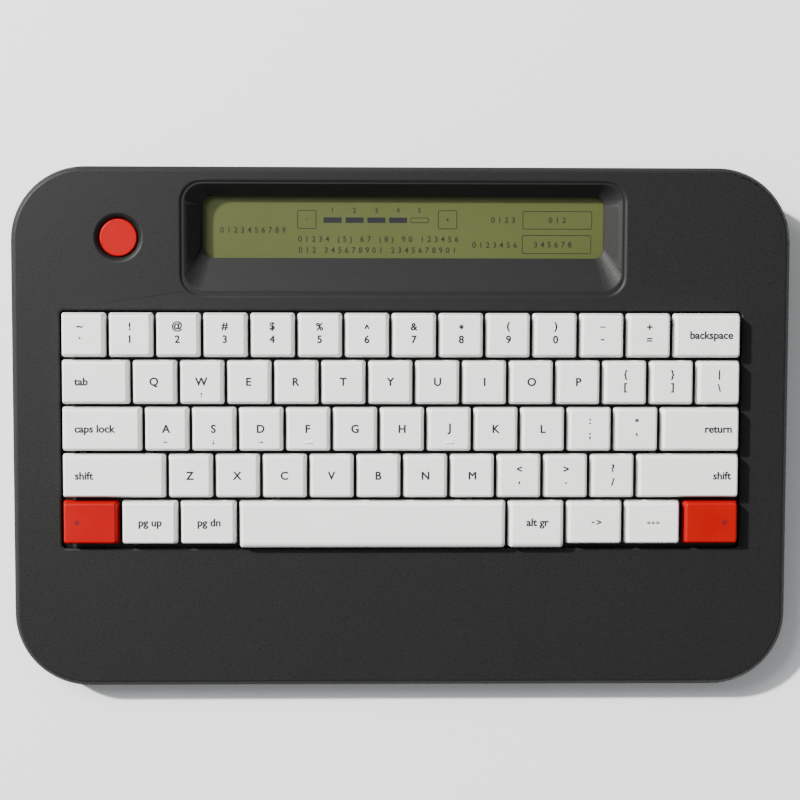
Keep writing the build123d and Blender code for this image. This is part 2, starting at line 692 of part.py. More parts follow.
def main_board():
    """Main circuit board with the power switch, processor and cable connectors on it."""
    top = main_board_top()
    board = slab(
        board_low_x(),
        board_high_x(),
        MAIN_BOARD_FRONT_Y,
        MAIN_BOARD_REAR_Y,
        MAIN_BOARD_HEIGHT,
        top,
    )
    board = chamfer(board.edges().filter_by(Axis.Z), MAIN_BOARD_CORNER)
    hole = prism(LOCATING_PIN_RADIUS + LOCATING_PIN_FIT, MAIN_BOARD_HEIGHT, top)
    for x, y in standoff_places()[:LOCATING_PINS]:
        board -= Pos(x, y) * hole
    stem_foot = button_axis() * Pos(0, 0, button_stem_bottom())
    switch_x = stem_foot.position.X
    switch_y = stem_foot.position.Y
    plunger_top = stem_foot.position.Z - BUTTON_TRAVEL - TACT_GAP
    switch_top = top + TACT_HEIGHT
    half = TACT_SIZE / 2
    switch = slab(switch_x - half, switch_x + half, switch_y - half, switch_y + half, top, switch_top)
    plunger = Pos(switch_x, switch_y) * prism(TACT_PLUNGER_RADIUS, switch_top, plunger_top)
    chip = Pos(MAIN_BOARD_X, MAIN_BOARD_FRONT_Y + CHIP_INSET, top + CHIP_HEIGHT / 2)
    chip = chip * Box(CHIP_SIZE, CHIP_SIZE, CHIP_HEIGHT)
    connector = Box(CONNECTOR_DEPTH, CONNECTOR_LENGTH, CONNECTOR_HEIGHT)
    connector_x = board_high_x() - CONNECTOR_DEPTH / 2
    connector_y = MAIN_BOARD_FRONT_Y + CONNECTOR_INSET
    connector_z = top + CONNECTOR_HEIGHT / 2
    front = Pos(connector_x, connector_y, connector_z) * connector
    return [board, switch + plunger, chip, front, Pos(0, CONNECTOR_SPACING) * front]


def port_centre():
    """Middle of the charging port's mouth."""
    return Pos(MAIN_BOARD_X, REAR_Y - PORT_SETBACK, main_board_top() + PORT_HEIGHT / 2)


def port_slot(grow, y_low, y_high):
    """Slot-shaped bar along Y, for the port and the cut-out round it."""
    section = SlotOverall(PORT_WIDTH + 2 * grow, PORT_HEIGHT + 2 * grow)
    return Pos(0, y_high, 0) * extrude(Plane.XZ * section, y_high - y_low)


def charging_port():
    """Charging connector: a drawn steel shell round a thin tongue."""
    shell = port_slot(0, -PORT_DEPTH, 0)
    shell -= port_slot(-PORT_SHELL, -PORT_DEPTH + PORT_SHELL, 0)
    half = PORT_TONGUE_WIDTH / 2
    thick = PORT_TONGUE_THICKNESS / 2
    tongue = slab(-half, half, -PORT_DEPTH + PORT_SHELL, -PORT_TONGUE_SETBACK, -thick, thick)
    return port_centre() * (shell + tongue)


# ---------------------------------------------------------------- stand


def stand():
    """Fold-out stand, folded flat into the bottom of the case."""
    low = FOOT_HEIGHT
    high = FOOT_HEIGHT + STAND_THICKNESS
    front = STAND_HINGE_Y - STAND_LENGTH
    plan_sketch = Pos(0, (front + STAND_HINGE_Y) / 2) * Rectangle(STAND_WIDTH, STAND_LENGTH)
    plan_sketch = chamfer(plan_sketch.vertices().group_by(Axis.Y)[0], STAND_CORNER)
    flap = Pos(0, 0, low) * extrude(plan_sketch, high - low)
    free_edges = flap.faces().sort_by(Axis.Z)[0].edges().sort_by(Axis.Y)[:-1]
    flap = chamfer(free_edges, STAND_EDGE)
    barrel = Rot(0, 90, 0) * Cylinder(STAND_BARREL_RADIUS, STAND_WIDTH)
    trunnions = Rot(0, 90, 0) * Cylinder(TRUNNION_RADIUS, STAND_WIDTH + 2 * TRUNNION_LENGTH)
    tab = slab(
        -STOP_TAB_WIDTH / 2,
        STOP_TAB_WIDTH / 2,
        0,
        STOP_TAB_LENGTH,
        -STOP_TAB_THICKNESS / 2,
        STOP_TAB_THICKNESS / 2,
    )
    hinge = barrel + trunnions
    for x in (STOP_TAB_X, -STOP_TAB_X):
        hinge += Pos(x, 0, 0) * Rot(STOP_TAB_ANGLE, 0, 0) * tab
    return flap + Pos(0, STAND_HINGE_Y, STAND_HINGE_Z) * hinge


def stand_front_y():
    return STAND_HINGE_Y - STAND_LENGTH - STAND_CLEARANCE


def stand_rear_y():
    return STAND_HINGE_Y + STOP_TAB_LENGTH + STOP_TAB_GAP


def flap_roof():
    return FOOT_HEIGHT + STAND_THICKNESS + STAND_ROOF_GAP


def barrel_roof():
    return STAND_HINGE_Z + STAND_BARREL_RADIUS + STAND_ROOF_GAP


def barrel_front_y():
    return STAND_HINGE_Y - STAND_BARREL_RADIUS - STAND_CLEARANCE


def stand_bay():
    """Walls and roof that the case bottom needs round the folded stand."""
    half = STAND_WIDTH / 2 + STAND_CLEARANCE + EAR_THICKNESS
    notch_front = stand_front_y() - NOTCH_REACH - BAY_WALL
    rear = stand_rear_y() + BAY_WALL
    bay = slab(-half, half, stand_front_y() - BAY_WALL, rear, FOOT_HEIGHT, flap_roof() + BAY_WALL)
    bay += slab(
        -half, half, barrel_front_y() - BAY_WALL, rear, FOOT_HEIGHT, barrel_roof() + BAY_WALL
    )
    notch_half = NOTCH_WIDTH / 2 + BAY_WALL
    notch_top = FOOT_HEIGHT + NOTCH_DEPTH + BAY_WALL
    return bay + slab(-notch_half, notch_half, notch_front, stand_front_y(), FOOT_HEIGHT, notch_top)


def stand_recess():
    """The space in the case bottom that the stand folds into, with a finger notch."""
    half = STAND_WIDTH / 2 + STAND_CLEARANCE
    recess = slab(-half, half, stand_front_y(), stand_rear_y(), 0, flap_roof())
    recess += slab(-half, half, barrel_front_y(), stand_rear_y(), 0, barrel_roof())
    bore = Rot(0, 90, 0) * Cylinder(
        TRUNNION_RADIUS + TRUNNION_FIT, STAND_WIDTH + 2 * (TRUNNION_LENGTH + STAND_CLEARANCE)
    )
    recess += Pos(0, STAND_HINGE_Y, STAND_HINGE_Z) * bore
    notch_front = stand_front_y() - NOTCH_REACH
    notch_plan = Pos(0, notch_front + NOTCH_REACH) * Rectangle(NOTCH_WIDTH, 2 * NOTCH_REACH)
    notch_plan = chamfer(notch_plan.vertices().group_by(Axis.Y)[0], NOTCH_CORNER)
    return recess + extrude(notch_plan, FOOT_HEIGHT + NOTCH_DEPTH)


# ---------------------------------------------------------------- case


def screw_places():
    """All six case screws."""
    return both_sides(FRONT_SCREW) + both_sides(SIDE_SCREW) + both_sides(REAR_SCREW)


def foot_places():
    return both_sides(FRONT_FOOT) + both_sides(REAR_FOOT)


def head_seat():
    """Height of the face that a screw head pulls against."""
    return FOOT_HEIGHT + SCREW_HEAD_SETBACK + SCREW_HEAD_HEIGHT


def deck_shell():
    """Top shell before anything is let into it: rounded outside, hollow inside."""
    outside = Pos(0, 0, SEAM_HEIGHT) * extrude(body_outline(0), SPAN / 4)
    outside -= above_deck(0)
    outside = chamfer(outside.faces().sort_by(Axis.Z)[-1].edges(), TOP_EDGE_CHAMFER)
    inside = Pos(0, 0, SEAM_HEIGHT) * extrude(body_outline(WALL), SPAN / 4)
    return outside - (inside - above_deck(-DECK_THICKNESS))


def recess_hull():
    """Outside of the recess walls: a four-sided funnel down to the cover's bed."""
    depth = RECESS_DEPTH + RECESS_FLOOR
    foot = RECESS_WALL + COVER_OVERLAP
    rim_half = RECESS_WIDTH / 2 + RECESS_WALL
    foot_half = WINDOW_WIDTH / 2 + foot
    across = Polygon(
        (DISPLAY_X - rim_half, 0),
        (DISPLAY_X - foot_half, -depth),
        (DISPLAY_X + foot_half, -depth),
        (DISPLAY_X + rim_half, 0),
        align=None,
    )
    along = Polygon(
        (RECESS_FRONT_Y - RECESS_WALL, 0),
        (WINDOW_FRONT_Y - foot, -depth),
        (WINDOW_REAR_Y + foot, -depth),
        (RECESS_REAR_Y + RECESS_WALL, 0),
        align=None,
    )
    across_bar = extrude(Plane.XZ * across, SPAN, both=True)
    return across_bar & extrude(Plane.YZ * along, SPAN, both=True)


def add_recess(shell):
    """Sink the display recess into the deck, with its walls and window."""
    shell += DECK * recess_hull()
    space = loft([recess_rim(), Pos(0, 0, -RECESS_DEPTH) * window_outline()], ruled=True)
    window = Pos(0, 0, -RECESS_DEPTH - RECESS_FLOOR) * extrude(window_outline(), RECESS_FLOOR)
    rim = Pos(0, 0, -RECESS_RIM_CHAMFER) * extrude(recess_rim(), RECESS_RIM_CHAMFER, taper=-45)
    return shell - DECK * (space + window + rim)


def well_outline(grow):
    """Outline of the key well in the deck, moved outwards."""
    return rounded_plan(
        WELL_WIDTH + 2 * grow, WELL_FRONT_Y - grow, WELL_REAR_Y + grow, WELL_CORNER + grow
    )


def add_key_well(shell):
    """Open the deck over the keys, with a skirt down to the plate."""
    skirt = extrude(well_outline(WELL_SKIRT), -PLATE_TOP - DECK_THICKNESS / 2)
    shell += DECK * Pos(0, 0, PLATE_TOP) * skirt
    well = Pos(0, 0, PLATE_TOP) * extrude(well_outline(0), -PLATE_TOP)
    rim = Pos(0, 0, -WELL_CHAMFER) * extrude(well_outline(0), WELL_CHAMFER, taper=-45)
    return shell - DECK * (well + rim)


def add_button_hole(shell):
    """Collar and countersunk hole for the power button."""
    bore = BUTTON_RADIUS + BUTTON_FIT
    shell += button_axis() * post(bore + COLLAR_WALL, -COLLAR_LENGTH, -DECK_THICKNESS / 2)
    shell -= button_axis() * post(bore, -COLLAR_LENGTH, 0)
    sink = Cone(bore, bore + BUTTON_CHAMFER, BUTTON_CHAMFER)
    return shell - button_axis() * Pos(0, 0, -BUTTON_CHAMFER / 2) * sink


def top_case():
    """Moulded upper shell: deck, side walls, display recess, key well and screw bosses."""
    shell = add_key_well(add_recess(deck_shell()))
    shell = add_button_hole(shell)
    boss = prism(TOP_BOSS_RADIUS, SEAM_HEIGHT, DECK_MID_HEIGHT + BODY_DEPTH / 4)
    pilot = prism(SCREW_RADIUS + PILOT_FIT, SEAM_HEIGHT, SEAM_HEIGHT + PILOT_DEPTH)
    above = above_deck(-DECK_THICKNESS / 2)
    for x, y in screw_places():
        shell += Pos(x, y) * boss - above
    for x, y in screw_places():
        shell -= Pos(x, y) * pilot
    cutout = port_slot(PORT_FIT, -2 * WALL, 2 * WALL)
    return shell - port_centre() * cutout


def plate_posts():
    """Posts on the case floor that hold the plate up against the key well's skirt."""
    x_edge = PLATE_WIDTH / 2 - PLATE_POST_INSET
    front = PLATE_FRONT_Y + PLATE_POST_INSET
    rear = PLATE_REAR_Y - PLATE_POST_INSET
    places = [(x, y) for x in (-x_edge, x_edge) for y in (-PLATE_POST_Y, PLATE_POST_Y)]
    places += [(x, y) for x in (-PLATE_POST_X, PLATE_POST_X) for y in (front, rear)]
    half = PLATE_POST_SIZE / 2
    tall = slab(-half, half, -half, half, FOOT_HEIGHT + FLOOR_THICKNESS / 2, DECK_MID_HEIGHT)
    above = above_deck(PLATE_BOTTOM)
    return [Pos(x, y) * tall - above for x, y in places]


def battery_fence():
    """Low wall round the battery."""
    width = BATTERY_WIDTH + 2 * FENCE_FIT
    depth = BATTERY_DEPTH + 2 * FENCE_FIT
    outer = Box(width + 2 * FENCE_THICKNESS, depth + 2 * FENCE_THICKNESS, FENCE_HEIGHT)
    ring = outer - Box(width, depth, FENCE_HEIGHT)
    return Pos(BATTERY_X, BATTERY_Y, CASE_FLOOR + FENCE_HEIGHT / 2) * ring


def lip_strip(length, face_distance):
    """Straight run of lip on the +Y side, with its root buried in the wall."""
    half = length / 2
    outer = face_distance - WALL - LIP_FIT
    inner = outer - LIP_THICKNESS
    root_outer = face_distance - WALL / 2
    strip = slab(-half, half, inner, root_outer, SEAM_HEIGHT - LIP_ROOT, SEAM_HEIGHT)
    return strip + slab(-half, half, inner, outer, SEAM_HEIGHT, SEAM_HEIGHT + LIP_HEIGHT)


def bottom_tray():
    """Bottom shell before its fittings: floor, walls and the lip into the top shell."""
    height = SEAM_HEIGHT - FOOT_HEIGHT
    tray = Pos(0, 0, FOOT_HEIGHT) * extrude(body_outline(0), height)
    tray = chamfer(tray.faces().sort_by(Axis.Z)[0].edges(), BOTTOM_EDGE_CHAMFER)
    tray -= Pos(0, 0, CASE_FLOOR) * extrude(body_outline(WALL), height)
    long_strip = lip_strip(BODY_WIDTH - 2 * BODY_CORNER, BODY_DEPTH / 2)
    short_strip = lip_strip(BODY_DEPTH - 2 * BODY_CORNER, BODY_WIDTH / 2)
    tray += long_strip + Rot(0, 0, 180) * long_strip
    return tray + Rot(0, 0, 90) * short_strip + Rot(0, 0, -90) * short_strip


def floor_ribs():
    """Stiffening ribs along the front of the floor, in the palm rest."""
    half = BODY_WIDTH / 2 - BODY_CORNER - RIB_MARGIN
    ribs = []
    for index in range(RIB_COUNT):
        x = (index - (RIB_COUNT - 1) / 2) * RIB_SPACING
        ribs.append(
            slab(
                x - RIB_THICKNESS / 2,
                x + RIB_THICKNESS / 2,
                RIB_FRONT_Y,
                PLATE_FRONT_Y - RIB_MARGIN / 2,
                CASE_FLOOR - FLOOR_THICKNESS / 2,
                CASE_FLOOR + RIB_HEIGHT,
            )
        )
    middle = (RIB_FRONT_Y + PLATE_FRONT_Y) / 2
    ribs.append(
        slab(
            -half,
            half,
            middle - RIB_THICKNESS / 2,
            middle + RIB_THICKNESS / 2,
            CASE_FLOOR - FLOOR_THICKNESS / 2,
            CASE_FLOOR + RIB_HEIGHT,
        )
    )
    return ribs


def bottom_case():
    """Moulded lower shell: tray, screw bosses, plate posts, standoffs and stand bay."""
    case = bottom_tray() + stand_bay() + battery_fence()
    for rib in floor_ribs() + plate_posts():
        case += rib
    boss = prism(BOTTOM_BOSS_RADIUS, FOOT_HEIGHT, SEAM_HEIGHT)
    seat = prism(SCREW_HEAD_RADIUS + SCREW_FIT, FOOT_HEIGHT, head_seat())
    hole = prism(SCREW_RADIUS + SCREW_FIT, FOOT_HEIGHT, SEAM_HEIGHT)
    for x, y in screw_places():
        case += Pos(x, y) * boss
        case -= Pos(x, y) * (seat + hole)
    standoff = prism(STANDOFF_RADIUS, CASE_FLOOR - FLOOR_THICKNESS / 2, MAIN_BOARD_HEIGHT)
    for x, y in standoff_places():
        case += Pos(x, y) * standoff
    pin = prism(LOCATING_PIN_RADIUS, MAIN_BOARD_HEIGHT, main_board_top())
    for x, y in standoff_places()[:LOCATING_PINS]:
        case += Pos(x, y) * pin
    foot_bed = foot_pad(FOOT_FIT, FOOT_SINK)
    for x, y in foot_places():
        case -= Pos(x, y, FOOT_HEIGHT) * foot_bed
    return case - stand_recess()


def foot_pad(grow, height):
    """Rubber pad with cut corners, or the bed that it sticks into."""
    pad = Rectangle(FOOT_LENGTH + 2 * grow, FOOT_WIDTH + 2 * grow)
    return extrude(chamfer(pad.vertices(), FOOT_CORNER), height)


def rubber_feet():
    """Four stick-in rubber feet."""
    pad = foot_pad(0, FOOT_HEIGHT + FOOT_SINK)
    return [Pos(x, y) * pad for x, y in foot_places()]


def case_screws():
    """Six pan-head screws, from below through the bottom shell into the top shell."""
    seat = head_seat()
    head = prism(SCREW_HEAD_RADIUS, seat - SCREW_HEAD_HEIGHT, seat)
    shank = prism(SCREW_RADIUS, seat, seat + SCREW_LENGTH)
    screw = head + shank
    return [Pos(x, y) * screw for x, y in screw_places()]


def battery():
    """Flat pouch battery on the case floor."""
    pouch = Box(BATTERY_WIDTH, BATTERY_DEPTH, BATTERY_THICKNESS)
    pouch = chamfer(pouch.edges().filter_by(Axis.Z), BATTERY_EDGE)
    return Pos(BATTERY_X, BATTERY_Y, CASE_FLOOR + BATTERY_THICKNESS / 2) * pouch


def save(name, solids):
    """Write one node. Its solids stay separate pieces."""
    shape = solids[0] if len(solids) == 1 else Compound(children=solids)
    export_step(shape, os.path.join("parts", name + ".step"))


def main():
    os.makedirs("parts", exist_ok=True)
    nodes = {
        "top_case": [top_case()],
        "bottom_case": [bottom_case()],
        "display_window": [display_window()],
        "display_glass": [display_glass()],
        "display_backlight": display_backlight(),
        "key_plate": [key_plate()],
        "keyboard_circuit_board": [keyboard_board()],
        "switch_and_stabiliser_housings": switch_node(),
        "main_circuit_board": main_board(),
        "battery": [battery()],
        "power_button": [power_button()],
        "charging_port": [charging_port()],
        "fold_out_stand": [stand()],
        "rubber_feet": rubber_feet(),
        "case_screws": case_screws(),
    }
    nodes.update(wire_nodes())
    nodes.update(key_nodes())
    for name, solids in nodes.items():
        save(name, solids)


main()
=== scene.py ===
"""Electronic word processor: gives the packed frame its shapes, finishes, light and camera.

Laid out as an add-on and run as a script. Lengths are in metres, except in the tables of
marks, which are in millimetres and say so. The deck is tilted, so most pieces are modelled
in the deck's own frame, where X runs along the keyboard, Y runs from the user to the rear
and Z stands off the deck's surface, and are then set on the case.
"""

import json
import math

import bmesh
import bpy
from mathutils import Matrix, Vector

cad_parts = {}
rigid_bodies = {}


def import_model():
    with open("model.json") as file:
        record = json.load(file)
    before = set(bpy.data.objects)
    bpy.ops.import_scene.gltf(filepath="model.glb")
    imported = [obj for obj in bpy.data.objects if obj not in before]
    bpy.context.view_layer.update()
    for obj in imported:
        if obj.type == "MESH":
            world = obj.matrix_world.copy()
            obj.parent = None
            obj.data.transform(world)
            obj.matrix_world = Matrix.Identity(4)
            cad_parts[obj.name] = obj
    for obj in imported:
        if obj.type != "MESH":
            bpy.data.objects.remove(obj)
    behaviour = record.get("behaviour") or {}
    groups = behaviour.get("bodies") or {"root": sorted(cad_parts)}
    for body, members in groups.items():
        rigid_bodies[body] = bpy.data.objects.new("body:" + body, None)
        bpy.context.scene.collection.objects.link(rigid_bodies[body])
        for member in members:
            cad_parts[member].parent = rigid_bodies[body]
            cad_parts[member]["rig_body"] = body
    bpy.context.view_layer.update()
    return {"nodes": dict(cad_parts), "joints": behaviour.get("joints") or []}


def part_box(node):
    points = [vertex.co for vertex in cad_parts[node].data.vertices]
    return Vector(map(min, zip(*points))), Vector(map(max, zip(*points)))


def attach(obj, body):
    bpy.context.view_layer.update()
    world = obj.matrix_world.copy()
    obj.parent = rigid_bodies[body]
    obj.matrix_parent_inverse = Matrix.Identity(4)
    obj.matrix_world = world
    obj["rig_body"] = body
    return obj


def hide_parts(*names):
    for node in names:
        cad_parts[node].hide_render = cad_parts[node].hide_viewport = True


bl_info = {
    "name": "Word processor dresser",
    "version": (1, 0, 0),
    "blender": (4, 5, 0),
    "location": "View3D > Sidebar > Word Processor",
    "description": "Models and finishes a slab-shaped electronic word processor",
    "category": "Object",
}

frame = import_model()
MM = 0.001


def joint_of(name):
    """One joint of the packed record."""
    return next(joint for joint in frame["joints"] if joint["name"] == name)


# ---- Case: the deck leans as the keys' travel does ----
FRONT_EDGE_HEIGHT = 13.0 * MM
KEY_TRAVEL_AXIS = Vector(joint_of("key_space_press")["axis"])
DECK_TILT = math.atan2(-KEY_TRAVEL_AXIS.y, KEY_TRAVEL_AXIS.z)
CASE_LOW, CASE_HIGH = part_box("top_case")
DECK_HEIGHT = FRONT_EDGE_HEIGHT + (CASE_HIGH.y - CASE_LOW.y) / 2 * math.tan(DECK_TILT)
ON_DECK = Matrix.Translation((0, 0, DECK_HEIGHT)) @ Matrix.Rotation(DECK_TILT, 4, "X")

# How an outline corner of the case is found and refined.
CORNER_REACH = 0.8  # share of the radius beyond which a face belongs to the corner's wall
JOINT_REACH = 0.86  # the same for the new joints between facets
JOINT_SLACK = 0.06 * MM  # how far off the round a joint of the packed solid may be
ON_PLANE = 0.002 * MM
FACET_STEPS = (2, 30)  # degrees that one facet of the round turns through
FACET_SHARE = 0.6  # share of its turn within which a facet's faces are looked for, each way
WIDE_FLAT = 40 * MM * MM  # a face of this area or more belongs to a flat
FLATNESS = 0.008 * MM
RIM_FOLD = math.radians(24)  # a sharper fold is a rim
SHARP_FOLD = math.radians(40)
RIM_DEPTH = 0.3 * MM  # rims no deeper than this below the deck's surface show
TOUCH = 0.1 * MM  # nearer than this counts as touching

# ---- Keyboard ----
KEY_PITCH = 19.05 * MM
KEY_GAP = 1.1 * MM
KEY_BLOCK_Y = -0.2 * MM
CAP_HEIGHT = 5.0 * MM
CAP_DEPTH = KEY_PITCH - KEY_GAP
APRON_REACH = 1.2 * MM
STEM_TOP = CAP_HEIGHT - 0.8 * MM  # sliders and posts end inside the cap's top wall
SLIDER_SIZE = (9.8 * MM, 4.2 * MM)
SLIDER_BOTTOM = -3.0 * MM
SLIDER_EDGE = 0.4 * MM
HOOK_SLOT = (0.22 * MM, 2.99 * MM, -2.55 * MM, -0.85 * MM)  # front, rear, bottom, top
POST_WIDTH = 3.0 * MM
POST_WALL = 1.0 * MM  # before and behind the slot
POST_FLOOR = 0.8 * MM  # below the slot
HOMING_BAR = (3.2 * MM, 0.6 * MM, 0.8 * MM)
HOMING_BAR_Y = -5.3 * MM
HOMING_BAR_EDGE = 0.14 * MM
ARROW_Y = -5.1 * MM
PLACE_SLACK = 0.6 * MM  # how far a new cap's outline may be from its solid's
SHIFT_POST_X = 11.9 * MM
SPACE_POST_X = 38.1 * MM
POSTS = {
    "key_shift_left": SHIFT_POST_X,
    "key_shift_right": SHIFT_POST_X,
    "key_space": SPACE_POST_X,
}
APRON_KEYS = ("key_space", "key_alt")
RED_KEYS = ("key_red_left", "key_red_right")
HOME_KEYS = ("key_f", "key_j")
ARROWS = {"key_w": 90, "key_a": 180, "key_s": 270, "key_d": 0}  # degrees that each turns

# Legends, in mm: (words, right of the key's middle, behind it, capital height, side)
CAPITAL = 3.1
SMALL = 2.95
MARK = 2.9
LEGEND_RISE = 0.35  # how far all legends sit behind the cap's middle
LEFT_MARGIN, RIGHT_MARGIN = 6.1, 4.2  # from the end of the key's place to its word
WORD_SHIFT = 0.45
PRINT_HEIGHT = CAP_HEIGHT + 0.02 * MM
SPIKED = ("M", "4")  # marks that the typeface can't thicken cleanly: printed in shifted layers
FLAG_HALF, FLAG_RIGHT, FLAG_BEHIND = 0.13, -0.10, 0.40  # shares of the capital height
FLAG_WEIGHT = 2.6  # how much heavier than the other strokes
FLAG_TURN = math.radians(38)
ARROW_SHAFT = (-0.65, 0.65, -0.15, 0.15)  # left, right, front, rear, in mm
ARROW_HEAD = ((0.0, 4.0), (0.75 * MM, 0.02))  # how far each step reaches and how it widens
# Each layer's shift in X and Y, as a share of the ink's spread, and its lift in mm.
INK_LAYERS = ((-1, 0.5, 0.002), (1, 0.5, 0.004), (0, -0.7, 0.006))


def pair(upper, lower, up=3.2, down=-1.9, size=MARK):
    """A key with two marks, one behind the other."""
    return [(upper, 0, up, size, "middle"), (lower, 0, down, size, "middle")]


def word(words, side, units=1.0):
    """A key with a word at one end of the cap or near its middle."""
    half = units * KEY_PITCH / MM / 2
    places = {"left": LEFT_MARGIN - half, "right": half - RIGHT_MARGIN, "middle": WORD_SHIFT}
    return [(words, places[side], 0, SMALL, side)]


def letter_keys(letters):
    """A run of keys with one capital each."""
    return [("key_" + c, 1.0, [(c.upper(), 0, 0, CAPITAL, "middle")]) for c in letters]


def symbol_keys(*pairs):
    """A run of keys with two marks each."""
    return [("symbol_keys", 1.0, pair(*marks)) for marks in pairs]


NUMBER_MARKS = ("!1", "@2", "#3", "$4", "%5", "^6", "&7", "*8", "(9", ")0", "_-", "+=")
ACCENT_MARKS = [("~", -1.0, 3.0, MARK, "middle"), ("`", -1.1, -1.6, MARK, "middle")]
KEY_ROWS = [
    [("number_row_keys", 1.0, ACCENT_MARKS)]
    + [("number_row_keys", 1.0, pair(*marks)) for marks in NUMBER_MARKS]
    + [("key_backspace", 1.5, word("backspace", "right", 1.5))],
    [("key_tab", 1.5, word("tab", "left", 1.5))]
    + letter_keys("qwertyuiop")
    + symbol_keys(
        ("{", "[", 2.9, -2.3, 2.8),
        ("}", "]", 2.9, -2.3, 2.8),
        ("|", "\\", 2.9, -2.3, 2.8),
    ),
    [("key_caps_lock", 1.75, word("caps lock", "left", 1.75))]
    + letter_keys("asdfghjkl")
    + symbol_keys((":", ";", 3.0, -3.0), ('"', "'", 3.4, -2.3))
    + [("key_return", 1.75, word("return", "right", 1.75))],
    [("key_shift_left", 2.25, word("shift", "left", 2.25))]
    + letter_keys("zxcvbnm")
    + symbol_keys(("<", ",", 2.7, -3.0), (">", ".", 2.7, -3.0), ("?", "/", 3.1, -2.5))
    + [("key_shift_right", 2.25, word("shift", "right", 2.25))],
    [
        ("key_red_left", 1.25, [("+", -6.6, 0, 3.4, "left")]),
        ("key_page_up", 1.25, word("pg up", "middle")),
        ("key_page_down", 1.25, word("pg dn", "middle")),
        ("key_space", 5.75, []),
        ("key_alt", 1.25, word("alt gr", "middle")),
        ("key_transfer", 1.25, [(">", 1.6, 0, 2.6, "middle"), ("-", -0.8, 0, 2.6, "middle")]),
        ("key_options", 1.25, [("o o o", 0, 0, 1.5, "middle")]),
        ("key_red_right", 1.25, [("+", 6.6, 0, 3.4, "right")]),
    ],
]

# ---- Display marks, on the deck's frame, in mm: (left, right, front, rear) ----
GLASS_SURFACE = -9.5 * MM
MARK_LIFT = 0.03 * MM
COVER_LIFT = 0.15 * MM  # the cover's underside stands this far off the glass
BOX_CORNER = 0.7 * MM
BOX_LINE = 0.3 * MM
GAUGE_BARS = [(left, left + 7.4, 83.5, 85.7) for left in (-32.0, -23.0, -14.1, -5.2)]
OUTLINE_BOXES = [
    (3.4, 11.1, 83.5, 85.7),
    (-42.8, -34.9, 81.0, 88.7),
    (14.8, 22.7, 81.0, 88.7),
    (49.5, 78.1, 81.0, 88.5),
    (49.3, 77.8, 71.0, 78.7),
]
GAUGE_PLACES = (-28.4, -19.4, -10.4, -1.5, 7.2)
# (words, right of the deck's middle, behind it, capital height, side)
DISPLAY_WORDS = [(str(n), x, 88.6, 2.0, "middle") for n, x in enumerate(GAUGE_PLACES, 1)] + [
    ("-", -38.8, 84.9, 2.0, "middle"),
    ("+", 18.8, 84.9, 2.0, "middle"),
    ("0123456789", -74.2, 80.5, 2.25, "left"),
    ("01234 (5) 67 (8) 90 123456", -42.4, 76.9, 2.25, "left"),
    ("012 345678901 2345678901", -42.2, 72.4, 2.25, "left"),
    ("0123", 36.6, 84.8, 2.25, "left"),
    ("0123456", 28.9, 74.6, 2.25, "left"),
    ("012", 63.8, 84.8, 2.25, "middle"),
    ("345678", 62.0, 74.8, 2.25, "middle"),
]
DISPLAY_SPACING = 1.7  # between characters, as a share of the typeface's own
DISPLAY_WEIGHT = 0.012

# ---- Inner parts, button and screws ----
BOARD_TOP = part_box("main_circuit_board")[0].z + 1.65 * MM  # the board's parts are above this
WIRE_FOLDS = (math.radians(30), math.radians(60))
WIRE_EDGE_LENGTH = 1.5 * MM  # edges longer than this run along a wire
WIRE_EDGE = 0.16 * MM
BUTTON_EDGE, STAND_EDGE, FOOT_EDGE = 0.12 * MM, 0.2 * MM, 0.35 * MM
BUTTON_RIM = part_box("power_button")[1].z - 2.2 * MM  # the button's face is above this
SCREW_COUNT = 6
SCREW_SPREAD = 6 * MM  # points nearer than this in plan belong to one screw
HEAD_RADIUS, HEAD_HEIGHT = 2.2 * MM, 1.6 * MM
SHANK_RADIUS, SHANK_LOW, SHANK_HIGH = 1.2 * MM, 1.5 * MM, 8.6 * MM
HEAD_EDGE, SHANK_EDGE = 0.35 * MM, 0.5 * MM
CROSS_SIZE = (2.6 * MM, 0.6 * MM, 2.0 * MM)
CROSS_TAPER = (0.35, 0.6, 1)  # how much narrower each arm is at its deep end

# ---- Stage ----
FLOOR_SIZE = 16.0
SUN_PLACE = (-0.6, 0.4, 0.7)
SUN_DIRECTION = Vector((1.22, -0.70, -1.0))
SUN_ANGLE = math.radians(3.0)
SUN_COLOUR = (1.0, 0.985, 0.96)
SOFTBOX_PLACE = Vector((-0.50, 0.36, 0.62))
SOFTBOX_SIZE = 0.45
SOFTBOX_COLOUR = (0.97, 0.985, 1.0)
ROOM_COLOUR = (0.93, 0.96, 1.0, 1.0)
CAMERA_X, CAMERA_Y = -0.01713, 0.01138
CAMERA_TURN = (0.00015, -0.02244, 0.00062)


# ======== Sizes and colours to change ========


def length(name, description, default):
    """A length that can be changed in the panel."""
    return bpy.props.FloatProperty(
        name=name, description=description, default=default, unit="LENGTH"
    )


def tint(name, description, default):
    """A colour that can be changed in the panel."""
    return bpy.props.FloatVectorProperty(
        name=name, description=description, default=default, size=3, subtype="COLOR"
    )


def amount(name, description, default, **limits):
    """A plain number that can be changed in the panel."""
    return bpy.props.FloatProperty(name=name, description=description, default=default, **limits)


